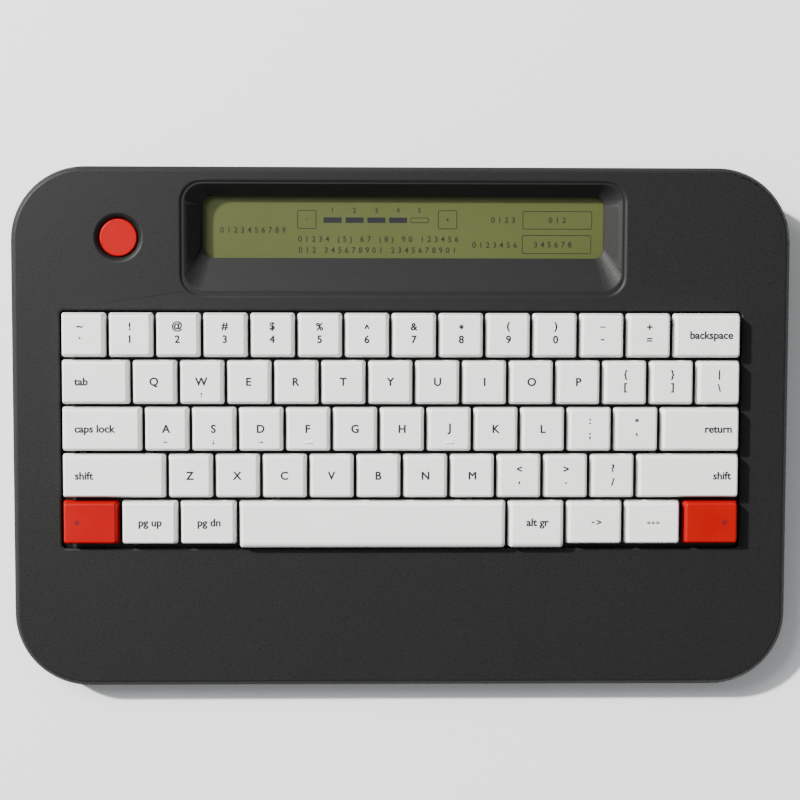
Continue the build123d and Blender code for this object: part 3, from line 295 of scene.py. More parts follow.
class SLAB_PG_keys(bpy.types.PropertyGroup):
    """Shape and colours of the keys."""

    lean: length("Side lean", "How far each side of a keycap leans in at its top", 0.95 * MM)
    corner: length("Corner radius", "Radius of a keycap's upright corners", 1.05 * MM)
    rim: length("Rim radius", "Rounding of the edge around a keycap's top", 0.7 * MM)
    apron_roll: length("Front roll", "Radius of the space bar's turned-down front", 2.5 * MM)
    wall: length("Wall", "Thickness of a keycap's walls", 1.0 * MM)
    weight: amount(
        "Legend weight", "How much heavier than the typeface the legends are printed", 0.019
    )
    spread: length("Ink spread", "How far the legends' ink spreads past their outlines", 0.08 * MM)
    white: tint("Keycap white", "Colour of the white keycaps", (0.80, 0.80, 0.78))
    red: tint("Keycap red", "Colour of the red keycaps and the button", (0.31, 0.0, 0.001))
    ink: tint("Legend ink", "Colour of the printed legends", (0.010, 0.011, 0.013))


class SLAB_PG_case(bpy.types.PropertyGroup):
    """Finish of the case."""

    corner: length("Outline corner", "Radius of the case's corners seen from above", 30.0 * MM)
    edge: length("Edge softening", "Rounding of the moulded edges that show", 0.55 * MM)
    colour: tint("Case colour", "Colour of the charcoal plastic", (0.0070, 0.0076, 0.0070))
    grain: length("Texture size", "Size of the moulded-in texture's grain", 0.42 * MM)


class SLAB_PG_display(bpy.types.PropertyGroup):
    """Look of the display."""

    olive: tint("Display colour", "Colour of the reflective display", (0.080, 0.094, 0.021))
    mark: tint("Mark colour", "Colour of the display's dark marks", (0.012, 0.014, 0.006))
    clear: amount(
        "Cover opacity", "How much of the clear cover's own colour shows", 0.07, min=0.0, max=1.0
    )


class SLAB_PG_stage(bpy.types.PropertyGroup):
    """Camera and light."""

    lens: amount("Lens", "Focal length on a 36 mm wide sensor, in mm", 80.64)
    height: length("Camera height", "Camera above the table", 0.750)
    sunlight: amount("Key light", "Strength of the light from the rear left", 9.0)
    softbox: amount("Soft light", "Power of the soft box over the rear left corner", 7.0)
    fill: amount("Fill light", "Strength of the light from all around", 0.42)
    floor: tint("Floor colour", "Colour of the pale floor", (0.86, 0.86, 0.85))


# ======== Modelling helpers ========


def settle():
    """Leave edit mode with nothing selected."""
    if bpy.context.mode != "OBJECT":
        bpy.ops.object.mode_set(mode="OBJECT")
    bpy.ops.object.select_all(action="DESELECT")


def take(piece):
    """Select one piece and make it the active one."""
    settle()
    piece.select_set(True)
    bpy.context.view_layer.objects.active = piece
    return piece


def place_in_mesh(name):
    """Name the new primitive and move its place and size into its mesh."""
    piece = bpy.context.object
    piece.name = name
    bpy.ops.object.transform_apply(location=True, rotation=True, scale=True)
    return piece


def block(name, size, centre):
    """A box of a given size and place, ready to be shaped."""
    settle()
    bpy.ops.mesh.primitive_cube_add(size=1, location=centre)
    bpy.context.object.scale = size
    return place_in_mesh(name)


def disc(name, radius, low, high, sides):
    """A round block on the Z axis between two heights, ready to be shaped."""
    settle()
    bpy.ops.mesh.primitive_cylinder_add(
        vertices=sides, radius=radius, depth=high - low, location=(0, 0, (low + high) / 2)
    )
    return place_in_mesh(name)


def flat_bar(left, right, front, rear):
    """A flat rectangle on the deck's frame, in mm."""
    settle()
    middle = ((left + right) / 2 * MM, (front + rear) / 2 * MM, 0)
    bpy.ops.mesh.primitive_plane_add(size=1, location=middle)
    bpy.context.object.scale = ((right - left) * MM, (rear - front) * MM, 1)
    return place_in_mesh("bar")


def shape(piece):
    """Open a piece in edit mode with nothing selected."""
    take(piece)
    bpy.ops.object.mode_set(mode="EDIT")
    bpy.ops.mesh.select_all(action="DESELECT")


def pick(piece, kind, test):
    """In edit mode, select only the faces, edges or points that pass a test."""
    bpy.ops.mesh.select_mode(type=kind)
    bpy.ops.mesh.select_all(action="DESELECT")
    mesh = bmesh.from_edit_mesh(piece.data)
    parts = {"FACE": mesh.faces, "EDGE": mesh.edges, "VERT": mesh.verts}[kind]
    picked = [part for part in parts if test(part)]
    for part in picked:
        part.select_set(True)
    mesh.select_flush_mode()
    bmesh.update_edit_mesh(piece.data)
    return len(picked)


def pick_faces(piece, test):
    """Select the faces that pass a test of their middle and normal."""
    return pick(piece, "FACE", lambda face: test(face.calc_center_median(), face.normal))


def pick_edges(piece, test):
    """Select the edges that pass a test of their two ends and their fold."""

    def passes(edge):
        one, two = edge.verts
        return test(one.co, two.co, edge.calc_face_angle(0.0))

    return pick(piece, "EDGE", passes)


def pick_points(piece, test):
    """Select the points that pass a test of their place."""
    return pick(piece, "VERT", lambda point: test(point.co))


def faces_up(middle, normal):
    """Whether a face looks up."""
    return normal.z > 0.9


def faces_down(middle, normal):
    """Whether a face looks down."""
    return normal.z < -0.9


def bevel(width, segments):
    """Round the selected edges."""
    bpy.ops.mesh.bevel(offset=width, offset_type="OFFSET", segments=segments, affect="EDGES")


def apply_modifier(piece, kind, **values):
    """Add a modifier, set it and apply it."""
    take(piece)
    bpy.ops.object.modifier_add(type=kind)
    modifier = piece.modifiers[-1]
    for key, value in values.items():
        setattr(modifier, key, value)
    bpy.ops.object.modifier_apply(modifier=modifier.name)


def cut_away(piece, tool):
    """Take one piece's shape out of another and drop it."""
    apply_modifier(piece, "BOOLEAN", operation="DIFFERENCE", object=tool, solver="EXACT")
    discard(tool)


def smooth(piece, degrees=32, weighted=False):
    """Smooth shading across gentle folds only, with wide faces kept flat when weighted."""
    take(piece)
    bpy.ops.object.shade_smooth_by_angle(angle=math.radians(degrees))
    if weighted:
        apply_modifier(
            piece, "WEIGHTED_NORMAL", keep_sharp=True, mode="FACE_AREA_WITH_ANGLE", weight=50
        )
    settle()
    return piece


def join(pieces, name):
    """Join pieces into one with a given name."""
    settle()
    for piece in pieces:
        piece.select_set(True)
    bpy.context.view_layer.objects.active = pieces[0]
    if len(pieces) > 1:
        bpy.ops.object.join()
    whole = bpy.context.view_layer.objects.active
    whole.name = name
    settle()
    return whole


def copy_of(piece, name, matrix):
    """A copy with its own mesh, set in place by a matrix."""
    twin = piece.copy()
    twin.data = piece.data.copy()
    twin.name = name
    bpy.context.scene.collection.objects.link(twin)
    twin.data.transform(matrix)
    return twin


def discard(piece):
    """Remove a piece and its mesh."""
    mesh = piece.data
    bpy.data.objects.remove(piece)
    bpy.data.meshes.remove(mesh)


def paint(piece, finish):
    """Give a piece one finish."""
    piece.data.materials.clear()
    piece.data.materials.append(FINISHES[finish])
    return piece


def working_copy(node, name):
    """A merged copy of a packed solid, ready to be refined."""
    copy = copy_of(frame["nodes"][node], name, Matrix.Identity(4))
    for key in list(copy.keys()):
        del copy[key]
    copy.parent = None
    copy.matrix_world = Matrix.Identity(4)
    shape(copy)
    bpy.ops.mesh.select_all(action="SELECT")
    bpy.ops.mesh.remove_doubles(threshold=2e-6)
    settle()
    return copy


def finish_copy(copy, node, finish, degrees=32):
    """Smooth a refined copy, finish it and let it stand for its solid."""
    smooth(copy, degrees, weighted=True)
    paint(copy, finish)
    body = frame["nodes"][node]["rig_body"]
    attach(copy, body)
    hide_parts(node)


def refine(node, name, finish, degrees, test, width):
    """Let a copy of a solid with the edges that pass a test rounded stand for it."""
    piece = working_copy(node, name)
    shape(piece)
    if pick_edges(piece, test):
        bevel(width, 2)
    finish_copy(piece, node, finish, degrees)


# ======== Finishes ========

FINISHES = {}
COLOUR_A, COLOUR_B, MIXED_COLOUR = 6, 7, 2  # the mix node's sockets for colours
STAND_SHADE = 0.9  # how bright the stand is beside the case


def new_finish(name, metallic=0.0, roughness=0.5, specular=0.5):
    """A material with its even values on the shader's own sockets."""
    material = bpy.data.materials.new(name)
    material.use_nodes = True
    inputs = shader_of(material).inputs
    inputs["Metallic"].default_value = metallic
    inputs["Roughness"].default_value = roughness
    inputs["Specular IOR Level"].default_value = specular
    FINISHES[name] = material
    return material


def shader_of(material):
    """The shader of a material."""
    return material.node_tree.nodes["Principled BSDF"]


def add_node(material, kind, values):
    """Add a node and set its inputs, given as {socket: value}."""
    node = material.node_tree.nodes.new(kind)
    for socket, value in values.items():
        node.inputs[socket].default_value = value
    return node


def link(material, output, node, socket):
    """Join an output to one of a node's inputs."""
    material.node_tree.links.new(output, node.inputs[socket])


def own_place(material):
    """A point's place in the piece's own coordinates."""
    return add_node(material, "ShaderNodeTexCoord", {}).outputs["Object"]


def grain(material, size, detail=3.0, stretch=(1, 1, 1), rough=0.55):
    """Noise of a given grain size."""
    mapping = add_node(material, "ShaderNodeMapping", {"Scale": stretch})
    values = {"Scale": 1.0 / size, "Detail": detail, "Roughness": rough}
    noise = add_node(material, "ShaderNodeTexNoise", values)
    link(material, own_place(material), mapping, "Vector")
    link(material, mapping.outputs["Vector"], noise, "Vector")
    return noise.outputs["Fac"]


def rectangles(material, width, height, line, one, two, between):
    """Rows of rectangles of two colours with lines between them."""
    values = {"Scale": 1.0, "Brick Width": width, "Row Height": height, "Mortar Size": line}
    for socket, tone in (("Color1", one), ("Color2", two), ("Mortar", between)):
        values[socket] = (*tone, 1.0)
    pattern = add_node(material, "ShaderNodeTexBrick", values)
    link(material, own_place(material), pattern, "Vector")
    return pattern


def ramp(material, factor, dark, light, low=0.3, high=0.7):
    """Colours that run from dark at one level of a factor to light at another."""
    node = add_node(material, "ShaderNodeValToRGB", {})
    ends = ((low, dark), (high, light))
    for element, (position, tone) in zip(node.color_ramp.elements, ends):
        element.position = position
        element.color = (*tone, 1.0)
    link(material, factor, node, "Fac")
    return node.outputs["Color"]


def mixed(material, factor, one, two, kind="MIX"):
    """Blend two colours by a number or by another node's factor."""
    node = add_node(material, "ShaderNodeMix", {})
    node.data_type = "RGBA"
    node.blend_type = kind
    if isinstance(factor, float):
        node.inputs[0].default_value = factor
    else:
        link(material, factor, node, 0)
    link(material, one, node, COLOUR_A)
    link(material, two, node, COLOUR_B)
    return node.outputs[MIXED_COLOUR]


def colour(material, tone):
    """Give the shader its colour."""
    link(material, tone, shader_of(material), "Base Color")


def shades(base, spread):
    """A darker and a lighter shade of one colour."""
    return (
        tuple(c * (1 - spread) for c in base),
        tuple(min(1.0, c * (1 + spread)) for c in base),
    )


def polish(material, factor, low, high):
    """Roughness that varies between two values."""
    values = {"From Min": 0.3, "From Max": 0.7, "To Min": low, "To Max": high}
    node = add_node(material, "ShaderNodeMapRange", values)
    link(material, factor, node, "Value")
    link(material, node.outputs["Result"], shader_of(material), "Roughness")


def relief(material, factor, height):
    """Bumps of a given height."""
    node = add_node(material, "ShaderNodeBump", {"Strength": 1.0, "Distance": height})
    link(material, factor, node, "Height")
    link(material, node.outputs["Normal"], shader_of(material), "Normal")


def height_above(material, level):
    """1 above a level of the piece's own Z, 0 below it."""
    parts = add_node(material, "ShaderNodeSeparateXYZ", {})
    test = add_node(material, "ShaderNodeMath", {1: level})
    test.operation = "GREATER_THAN"
    link(material, own_place(material), parts, "Vector")
    link(material, parts.outputs["Z"], test, 0)
    return test.outputs["Value"]


def grained(
    name, size, tones, gloss, height=0.0, levels=(0.3, 0.7), detail=3.0, stretch=(1, 1, 1), **even
):
    """A finish whose colour, roughness and bumps all follow one grain."""
    material = new_finish(name, **even)
    factor = grain(material, size, detail, stretch)
    colour(material, ramp(material, factor, *tones, *levels))
    polish(material, factor, *gloss)
    if height:
        relief(material, factor, height)
    return material


def moulded_plastic(name, base, size, roughness=(0.46, 0.66), bumps=0.075 * MM):
    """Plastic with a fine moulded-in texture and faint broad unevenness."""
    material = new_finish(name, specular=0.25)
    fine = grain(material, size, detail=2.5, rough=0.6)
    broad = grain(material, 60 * MM, detail=2.0)
    speckle = ramp(material, fine, *shades(base, 0.3), 0.36, 0.66)
    cloud = ramp(material, broad, (0.9, 0.9, 0.9), (1.0, 1.0, 1.0))
    colour(material, mixed(material, 1.0, speckle, cloud, "MULTIPLY"))
    polish(material, fine, *roughness)
    relief(material, fine, bumps)


def satin_plastic(name, base, roughness=(0.34, 0.46), spread=0.015, specular=0.45):
    """Smooth keycap plastic with a hardly visible texture and a slight sheen."""
    material = new_finish(name, specular=specular)
    fine = grain(material, 0.25 * MM, detail=2.0)
    broad = grain(material, 22 * MM, detail=2.0)
    colour(material, ramp(material, broad, *shades(base, spread)))
    polish(material, broad, *roughness)
    relief(material, fine, 0.006 * MM)


def printed_ink(name, base):
    """Thin printed ink that lets a little of the plastic's texture through."""
    tones = shades(base, 0.25)
    grained(name, 0.3 * MM, tones, (0.5, 0.62), levels=(0.35, 0.65), detail=2.0, specular=0.3)


def clear_cover(name, opacity):
    """Clear plastic over the display, a little hazy with handling."""
    tones = (0.02, 0.022, 0.018), (0.04, 0.042, 0.034)
    material = grained(name, 9 * MM, tones, (0.05, 0.12))
    shader_of(material).inputs["Alpha"].default_value = opacity


def reflective_display(name, base):
    """Olive reflective display with its fine grid of dots."""
    material = new_finish(name, specular=0.35)
    dark, light = shades(base, 0.05)
    dots = rectangles(material, 0.34 * MM, 0.34 * MM, 0.03 * MM, base, light, dark)
    dots.offset = 0.0
    broad = grain(material, 55 * MM, detail=1.5)
    cloud = ramp(material, broad, (0.86, 0.9, 0.86), (1.0, 1.0, 1.0))
    colour(material, mixed(material, 1.0, dots.outputs["Color"], cloud, "MULTIPLY"))
    polish(material, broad, 0.42, 0.55)


def circuit_board(name, top):
    """Green solder mask with traces below a level, and parts in black above it."""
    material = new_finish(name, specular=0.5)
    greens = (0.010, 0.085, 0.045), (0.012, 0.10, 0.052), (0.03, 0.19, 0.10)
    traces = rectangles(material, 7.5 * MM, 1.3 * MM, 0.14 * MM, *greens)
    fine = grain(material, 1.5 * MM, detail=2.0)
    black = ramp(material, fine, (0.012, 0.012, 0.013), (0.03, 0.03, 0.031), 0.4, 0.6)
    above = height_above(material, top)
    colour(material, mixed(material, above, traces.outputs["Color"], black))
    polish(material, fine, 0.28, 0.42)


def drawn_metal(name, base, gloss=(0.22, 0.38), stretch=(0.05, 1, 1)):
    """Metal with fine lines along the axis that is stretched least."""
    tones = shades(base, 0.12)
    size, height, levels = 0.12 * MM, 0.004 * MM, (0.35, 0.65)
    grained(name, size, tones, gloss, height, levels, stretch=stretch, metallic=1.0)


def milky_plate(name):
    """Plate that spreads the display's light."""
    tones = (0.70, 0.71, 0.68), (0.78, 0.79, 0.76)
    grained(name, 6 * MM, tones, (0.35, 0.5), detail=2.0, roughness=0.4)


def powder_coat(name):
    """Black powder coat on the steel key plate."""
    tones = (0.008, 0.008, 0.009), (0.02, 0.02, 0.021)
    grained(name, 0.6 * MM, tones, (0.45, 0.6), 0.04 * MM, (0.35, 0.7), specular=0.4)


def wrinkled_foil(name):
    """Silver pouch film with soft creases."""
    tones = (0.50, 0.51, 0.52), (0.66, 0.67, 0.68)
    grained(name, 7 * MM, tones, (0.25, 0.45), 0.25 * MM, detail=4.0, metallic=1.0)


def soft_rubber(name):
    """Matt black rubber with a dusty bloom."""
    tones = (0.014, 0.014, 0.014), (0.032, 0.032, 0.031)
    grained(name, 0.35 * MM, tones, (0.75, 0.9), 0.03 * MM, (0.3, 0.75), specular=0.25)


def floor_paper(name, base):
    """Pale seamless paper."""
    grained(name, 2 * MM, shades(base, 0.012), (0.8, 0.9), detail=4.0, specular=0.2)


def mix_finishes():
    """Make every finish once, from the colours set in the panel."""
    scene = bpy.context.scene
    keys, case, display = scene.slab_keys, scene.slab_case, scene.slab_display
    FINISHES.clear()
    moulded_plastic("case_plastic", case.colour, case.grain)
    moulded_plastic("stand_plastic", [c * STAND_SHADE for c in case.colour], case.grain)
    moulded_plastic("housing_black", (0.012, 0.012, 0.013), 0.5 * MM, (0.45, 0.6), 0.02 * MM)
    satin_plastic("keycap_white", keys.white)
    satin_plastic("keycap_red", keys.red, (0.4, 0.5), 0.05, 0.12)
    satin_plastic("button_red", keys.red, (0.35, 0.45), 0.05, 0.15)
    printed_ink("legend_ink", keys.ink)
    printed_ink("legend_ink_red", (0.11, 0.004, 0.006))
    printed_ink("display_mark", display.mark)
    printed_ink("display_bar", (0.008, 0.009, 0.014))
    clear_cover("cover_clear", display.clear)
    reflective_display("lcd", display.olive)
    milky_plate("light_guide")
    powder_coat("plate_steel")
    circuit_board("board", BOARD_TOP)
    circuit_board("keyboard_board", 1.0)  # no part of it is a metre up, so it is all board
    drawn_metal("wire_steel", (0.60, 0.60, 0.61))
    drawn_metal("port_steel", (0.58, 0.58, 0.59), (0.2, 0.32), (1, 0.05, 1))
    drawn_metal("screw_steel", (0.10, 0.10, 0.105), (0.32, 0.45), (1, 1, 0.05))
    wrinkled_foil("battery_foil")
    soft_rubber("foot_rubber")
    floor_paper("floor_paper", scene.slab_stage.floor)


class SLAB_OT_finishes(bpy.types.Operator):
    """Mix the finishes that the pieces use."""

    bl_idname = "slab.finishes"
    bl_label = "Finishes"

    def execute(self, context):
        mix_finishes()
        return {"FINISHED"}


# ======== Case ========


def level_spoke(point, axis):
    """The level line from an upright axis to a point."""
    return Vector((point.x - axis.x, point.y - axis.y, 0))


def facet_joints(piece, axis, radius):
    """Directions, in degrees, of the facet joints of one outline corner."""
    found = set()
    for point in piece.data.vertices:
        right, behind = point.co.x - axis[0], point.co.y - axis[1]
        if right * axis[0] < -1e-6 or behind * axis[1] < -1e-6:
            continue
        if abs(math.hypot(right, behind) - radius) < JOINT_SLACK:
            found.add(round(math.degrees(math.atan2(behind, right)), 2))
    joints = []
    for angle in sorted(found):
        if not joints or angle - joints[-1] > 1.0:
            joints.append(angle)
    return joints


def round_corner(piece, axis, radius):
    """Halve the facets of one outline corner and push the new joints out to the round."""
    centre = Vector((*axis, 0))
    joints = facet_joints(piece, axis, radius)
    for low, high in zip(joints, joints[1:]):
        if not FACET_STEPS[0] < high - low < FACET_STEPS[1]:
            continue
        step = math.radians(high - low)
        middle = math.radians(low + high) / 2
        outward = Vector((math.cos(middle), math.sin(middle), 0))
        across = Vector((-math.sin(middle), math.cos(middle), 0))

        def on_facet(place, normal):
            spoke = level_spoke(place, centre)
            if spoke.length < CORNER_REACH * radius or spoke.dot(outward) < 0:
                return False
            return abs(spoke.angle(outward)) < step * FACET_SHARE

        def on_joint(place):
            spoke = level_spoke(place, centre)
            far_out = spoke.length > JOINT_REACH * radius and spoke.dot(outward) > 0
            return far_out and abs(spoke.dot(across)) < ON_PLANE

        if not pick_faces(piece, on_facet):
            continue
        bpy.ops.mesh.bisect(plane_co=(*axis, 0), plane_no=across)
        if pick_points(piece, on_joint):
            swell = 1 / math.cos(step / 2)
            bpy.ops.transform.resize(value=(swell, swell, 1), center_override=tuple(centre))

    def on_round(place, normal):
        right, behind = place.x - axis[0], place.y - axis[1]
        beyond = right * axis[0] > 0 and behind * axis[1] > 0
        reach = math.hypot(right, behind)
        return beyond and reach > CORNER_REACH * radius and abs(normal.z) < 0.95

    # Each facet of the round is made one face again, so that it shades evenly.
    pick_faces(piece, on_round)
    bpy.ops.mesh.dissolve_limited(angle_limit=math.radians(0.3))


def even_shading(piece, radius):
    """Shade the case's wide flats as flat and its outline corners as round."""
    mesh = piece.data

    def lies_in(face, normal, height):
        return face.normal.dot(normal) > 0.9 and all(
            abs(mesh.vertices[index].co.dot(normal) - height) < FLATNESS
            for index in face.vertices
        )

    flats = []
    for face in mesh.polygons:
        if face.area > WIDE_FLAT and not any(lies_in(face, *flat) for flat in flats):
            flats.append((face.normal.copy(), face.center.dot(face.normal)))
    normals = [corner.vector.copy() for corner in mesh.corner_normals]
    for face in mesh.polygons:
        side = math.copysign(CASE_HIGH.x - radius, face.center.x)
        end = math.copysign(CASE_HIGH.y - radius, face.center.y)
        axis = Vector((side, end, 0))
        spoke = level_spoke(face.center, axis)
        beyond = spoke.x * side > 0 and spoke.y * end > 0
        outer = spoke.length > CORNER_REACH * radius
        if beyond and outer and face.normal.dot(spoke.normalized()) > 0.95:
            for loop in face.loop_indices:
                point = mesh.vertices[mesh.loops[loop].vertex_index].co
                normals[loop] = level_spoke(point, axis).normalized()
            continue
        for normal, height in flats:
            if lies_in(face, normal, height):
                for loop in face.loop_indices:
                    normals[loop] = normal
                break
    mesh.normals_split_custom_set(normals)


def rounded_shell(node, name, radius):
    """A copy of one half of the case with rounder outline corners, open in edit mode."""
    shell = working_copy(node, name)
    shape(shell)
    width, depth = CASE_HIGH.x - CASE_LOW.x, CASE_HIGH.y - CASE_LOW.y
    for side in (-1, 1):
        for end in (-1, 1):
            round_corner(shell, (side * (width / 2 - radius), end * (depth / 2 - radius)), radius)
    return shell


class SLAB_OT_top_shell(bpy.types.Operator):
    """Refine the top shell: rounder outline corners, softened rims, moulded texture."""

    bl_idname = "slab.top_shell"
    bl_label = "Top shell"

    def execute(self, context):
        settings = context.scene.slab_case
        shell = rounded_shell("top_case", "top_shell", settings.corner)
        to_deck = ON_DECK.inverted()

        def visible_rim(one, two, fold):
            if fold < RIM_FOLD:
                return False
            return min((to_deck @ one).z, (to_deck @ two).z) > -RIM_DEPTH

        if not pick_edges(shell, visible_rim):
            raise RuntimeError("the top shell has no rims to soften")
        bevel(settings.edge, 3)
        finish_copy(shell, "top_case", "case_plastic", 30)
        even_shading(shell, settings.corner)
        return {"FINISHED"}


class SLAB_OT_bottom_shell(bpy.types.Operator):
    """Refine the bottom shell: rounder outline corners and moulded texture."""

    bl_idname = "slab.bottom_shell"
    bl_label = "Bottom shell"

    def execute(self, context):
        radius = context.scene.slab_case.corner
        shell = rounded_shell("bottom_case", "bottom_shell", radius)
        finish_copy(shell, "bottom_case", "case_plastic", 30)
        even_shading(shell, radius)
        return {"FINISHED"}


# ======== Keys ========


def model_keycap(width, has_apron, settings):
    """One hollow keycap with its slider, standing on the deck's surface at the origin."""
    apron = APRON_REACH if has_apron else 0.0
    depth, front = CAP_DEPTH + apron, -CAP_DEPTH / 2 - apron
    lean = settings.lean
    cap = block("keycap", (width, depth, CAP_HEIGHT), (0, front + depth / 2, CAP_HEIGHT / 2))
    shape(cap)
    pick_faces(cap, faces_up)
    if has_apron:
        bpy.ops.transform.resize(
            value=((width - 2 * lean) / width, (depth - lean) / depth, 1),
            center_override=(0, front, CAP_HEIGHT),
        )

        def front_edge(a, b, fold):
            return min(a.z, b.z) > CAP_HEIGHT * 0.9 and max(a.y, b.y) < front + TOUCH

        def sharp_edge(a, b, fold):
            return fold > SHARP_FOLD and max(a.z, b.z) > TOUCH

        pick_edges(cap, front_edge)
        bevel(settings.apron_roll, 6)
        pick_edges(cap, sharp_edge)
        bevel(settings.corner, 4)
    else:
        bpy.ops.transform.resize(
            value=((width - 2 * lean) / width, (depth - 2 * lean) / depth, 1),
            center_override=(0, 0, CAP_HEIGHT),
        )

        def upright_edge(a, b, fold):
            return abs(a.z - b.z) > CAP_HEIGHT / 2

        def top_edge(a, b, fold):
            return min(a.z, b.z) > CAP_HEIGHT * 0.98 and fold > math.radians(30)

        pick_edges(cap, upright_edge)
        bevel(settings.corner, 4)
        pick_edges(cap, top_edge)
        bevel(settings.rim, 3)
    pick_faces(cap, faces_down)
    bpy.ops.mesh.delete(type="FACE")
    apply_modifier(cap, "SOLIDIFY", thickness=settings.wall, offset=-1.0, use_even_offset=True)
    return join([cap, model_slider()], "keycap")


def model_slider():
    """The switch's slider, which moves with its cap."""
    size = (*SLIDER_SIZE, STEM_TOP - SLIDER_BOTTOM)
    slider = block("slider", size, (0, 0, (STEM_TOP + SLIDER_BOTTOM) / 2))
    shape(slider)
    pick_edges(slider, lambda a, b, fold: abs(a.z - b.z) > 1 * MM or max(a.z, b.z) < 0)
    bevel(SLIDER_EDGE, 2)
    return slider


def model_post(x):
    """Post under a wide keycap with the slot that holds the stabiliser wire's hook."""
    front, rear, bottom, top = HOOK_SLOT
    low, middle = bottom - POST_FLOOR, (front + rear) / 2
    size = (POST_WIDTH, rear - front + 2 * POST_WALL, STEM_TOP - low)
    post = block("post", size, (x, middle, (low + STEM_TOP) / 2))
    slot_size = (POST_WIDTH + 1 * MM, rear - front, top - bottom)
    cut_away(post, block("hook_slot", slot_size, (x, middle, (bottom + top) / 2)))
    return post


def model_homing_bar():
    """Raised bar that marks the two home keys."""
    bar = block("homing_bar", HOMING_BAR, (0, HOMING_BAR_Y, CAP_HEIGHT))
    shape(bar)
    pick_edges(bar, lambda a, b, fold: min(a.z, b.z) > CAP_HEIGHT or abs(a.z - b.z) > TOUCH)
    bevel(HOMING_BAR_EDGE, 3)
    return smooth(bar)


def key_centres():
    """(node, units, legends, x, y) of every key."""
    for row, keys in enumerate(KEY_ROWS):
        x = -sum(units for _, units, _ in keys) / 2 * KEY_PITCH
        y = KEY_BLOCK_Y + (2 - row) * KEY_PITCH
        for node, units, legends in keys:
            yield node, units, legends, x + units * KEY_PITCH / 2, y
            x += units * KEY_PITCH


class SLAB_OT_keycaps(bpy.types.Operator):
    """Model each width of keycap once and set a copy of it on every key."""

    bl_idname = "slab.keycaps"
    bl_label = "Keycaps"

    def execute(self, context):
        bar = model_homing_bar()
        patterns, by_node = {}, {}
        for node, units, _, x, y in key_centres():
            kind = (units, node in APRON_KEYS, POSTS.get(node))
            if kind not in patterns:
                patterns[kind] = self.model_pattern(*kind, context.scene.slab_keys)
            place = ON_DECK @ Matrix.Translation((x, y, 0))
            pieces = by_node.setdefault(node, [])
            pieces.append(copy_of(patterns[kind], node + "_cap", place))
            if node in HOME_KEYS:
                pieces.append(copy_of(bar, node + "_bar", place))
        for node, pieces in by_node.items():
            whole = join(pieces, node + "_cap")
            check_place(whole, node)
            paint(whole, "keycap_red" if node in RED_KEYS else "keycap_white")
            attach(whole, node)
            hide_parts(node)
        for piece in (bar, *patterns.values()):
            discard(piece)
        return {"FINISHED"}

    def model_pattern(self, units, has_apron, post_x, settings):
        """A keycap of one width, with its posts where it has a stabiliser."""
        cap = model_keycap(units * KEY_PITCH - KEY_GAP, has_apron, settings)
        if post_x:
            cap = join([cap, model_post(-post_x), model_post(post_x)], "keycap")
        return smooth(cap, 38, weighted=True)


def check_place(piece, node):
    """Stop if a new piece isn't where its solid is."""
    low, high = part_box(node)
    for axis in (0, 1):
        values = [point.co[axis] for point in piece.data.vertices]
        off = max(abs(min(values) - low[axis]), abs(max(values) - high[axis]))
        if off > PLACE_SLACK:
            raise RuntimeError(f"{piece.name} isn't where {node} is")


# ======== Legends ========


def middle_of(values):
    """The value halfway between the least and the greatest."""
    return (min(values) + max(values)) / 2


def text_mesh(words, **settings):
    """Words in the built-in typeface, turned into a mesh."""
    settle()
    bpy.ops.object.text_add()
    piece = bpy.context.object
    piece.data.body = words
    for key, value in settings.items():
        setattr(piece.data, key, value)
    bpy.ops.object.convert(target="MESH")
    return bpy.context.object


def capital_size():
    """Height of a capital in the built-in typeface, at size 1."""
    sample = text_mesh("H")
    heights = [point.co.y for point in sample.data.vertices]
    discard(sample)
    return max(heights) - min(heights)


def lettering(words, size, side, weight, capital, spacing=1.0, spread=0.0):
    """Flat lettering as a mesh, centred on the origin in height and set to one side."""
    thickening = weight * size / capital
    spiked = words in SPIKED
    piece = text_mesh(
        words,
        size=size / capital,
        offset=0.0 if spiked else thickening,
        resolution_u=4,
        space_character=spacing,
    )
    xs = [point.co.x for point in piece.data.vertices]
    ys = [point.co.y for point in piece.data.vertices]
    right = {"left": -min(xs), "right": -max(xs), "middle": -middle_of(xs)}[side]
    lone_mark = len(words) == 1 and (words == "J" or not words.isalpha())
    behind = -middle_of(ys) if lone_mark else -size / 2
    piece.data.transform(Matrix.Translation((right, behind, 0)))
    step = spread + (thickening if spiked else 0.0)
    if step > 0:
        layers = [
            copy_of(piece, "layer", Matrix.Translation((right * step, up * step, lift * MM)))
            for right, up, lift in INK_LAYERS
        ]
        piece = join([piece] + layers, "legend")
    if words == "1":
        piece = join([piece, model_flag(size, weight)], "legend")
    return piece


def model_flag(size, weight):
    """The slanted stroke at the top of a 1, which the typeface draws very thin."""
    half, thick = FLAG_HALF * size / MM, FLAG_WEIGHT * weight * size / MM
    flag = flat_bar(-half, half, -thick, thick)
    flag.data.transform(Matrix.Rotation(FLAG_TURN, 4, "Z"))
    place = (FLAG_RIGHT * size, FLAG_BEHIND * size, 0.002 * MM)
    flag.data.transform(Matrix.Translation(place))
    return flag


def model_arrow():
    """Small flat arrow that points along X."""
    arrow = flat_bar(*ARROW_SHAFT)
    shape(arrow)
    pick_edges(arrow, lambda a, b, fold: min(a.x, b.x) > 0.6 * MM)
    for reach, widening in ARROW_HEAD:
        bpy.ops.mesh.extrude_region_move(TRANSFORM_OT_translate={"value": (reach, 0, 0)})
        bpy.ops.transform.resize(value=(1, widening, 1), center_override=(0, 0, 0))
    settle()
    arrow.data.transform(Matrix.Translation((-0.3 * MM, 0, 0)))
    return arrow


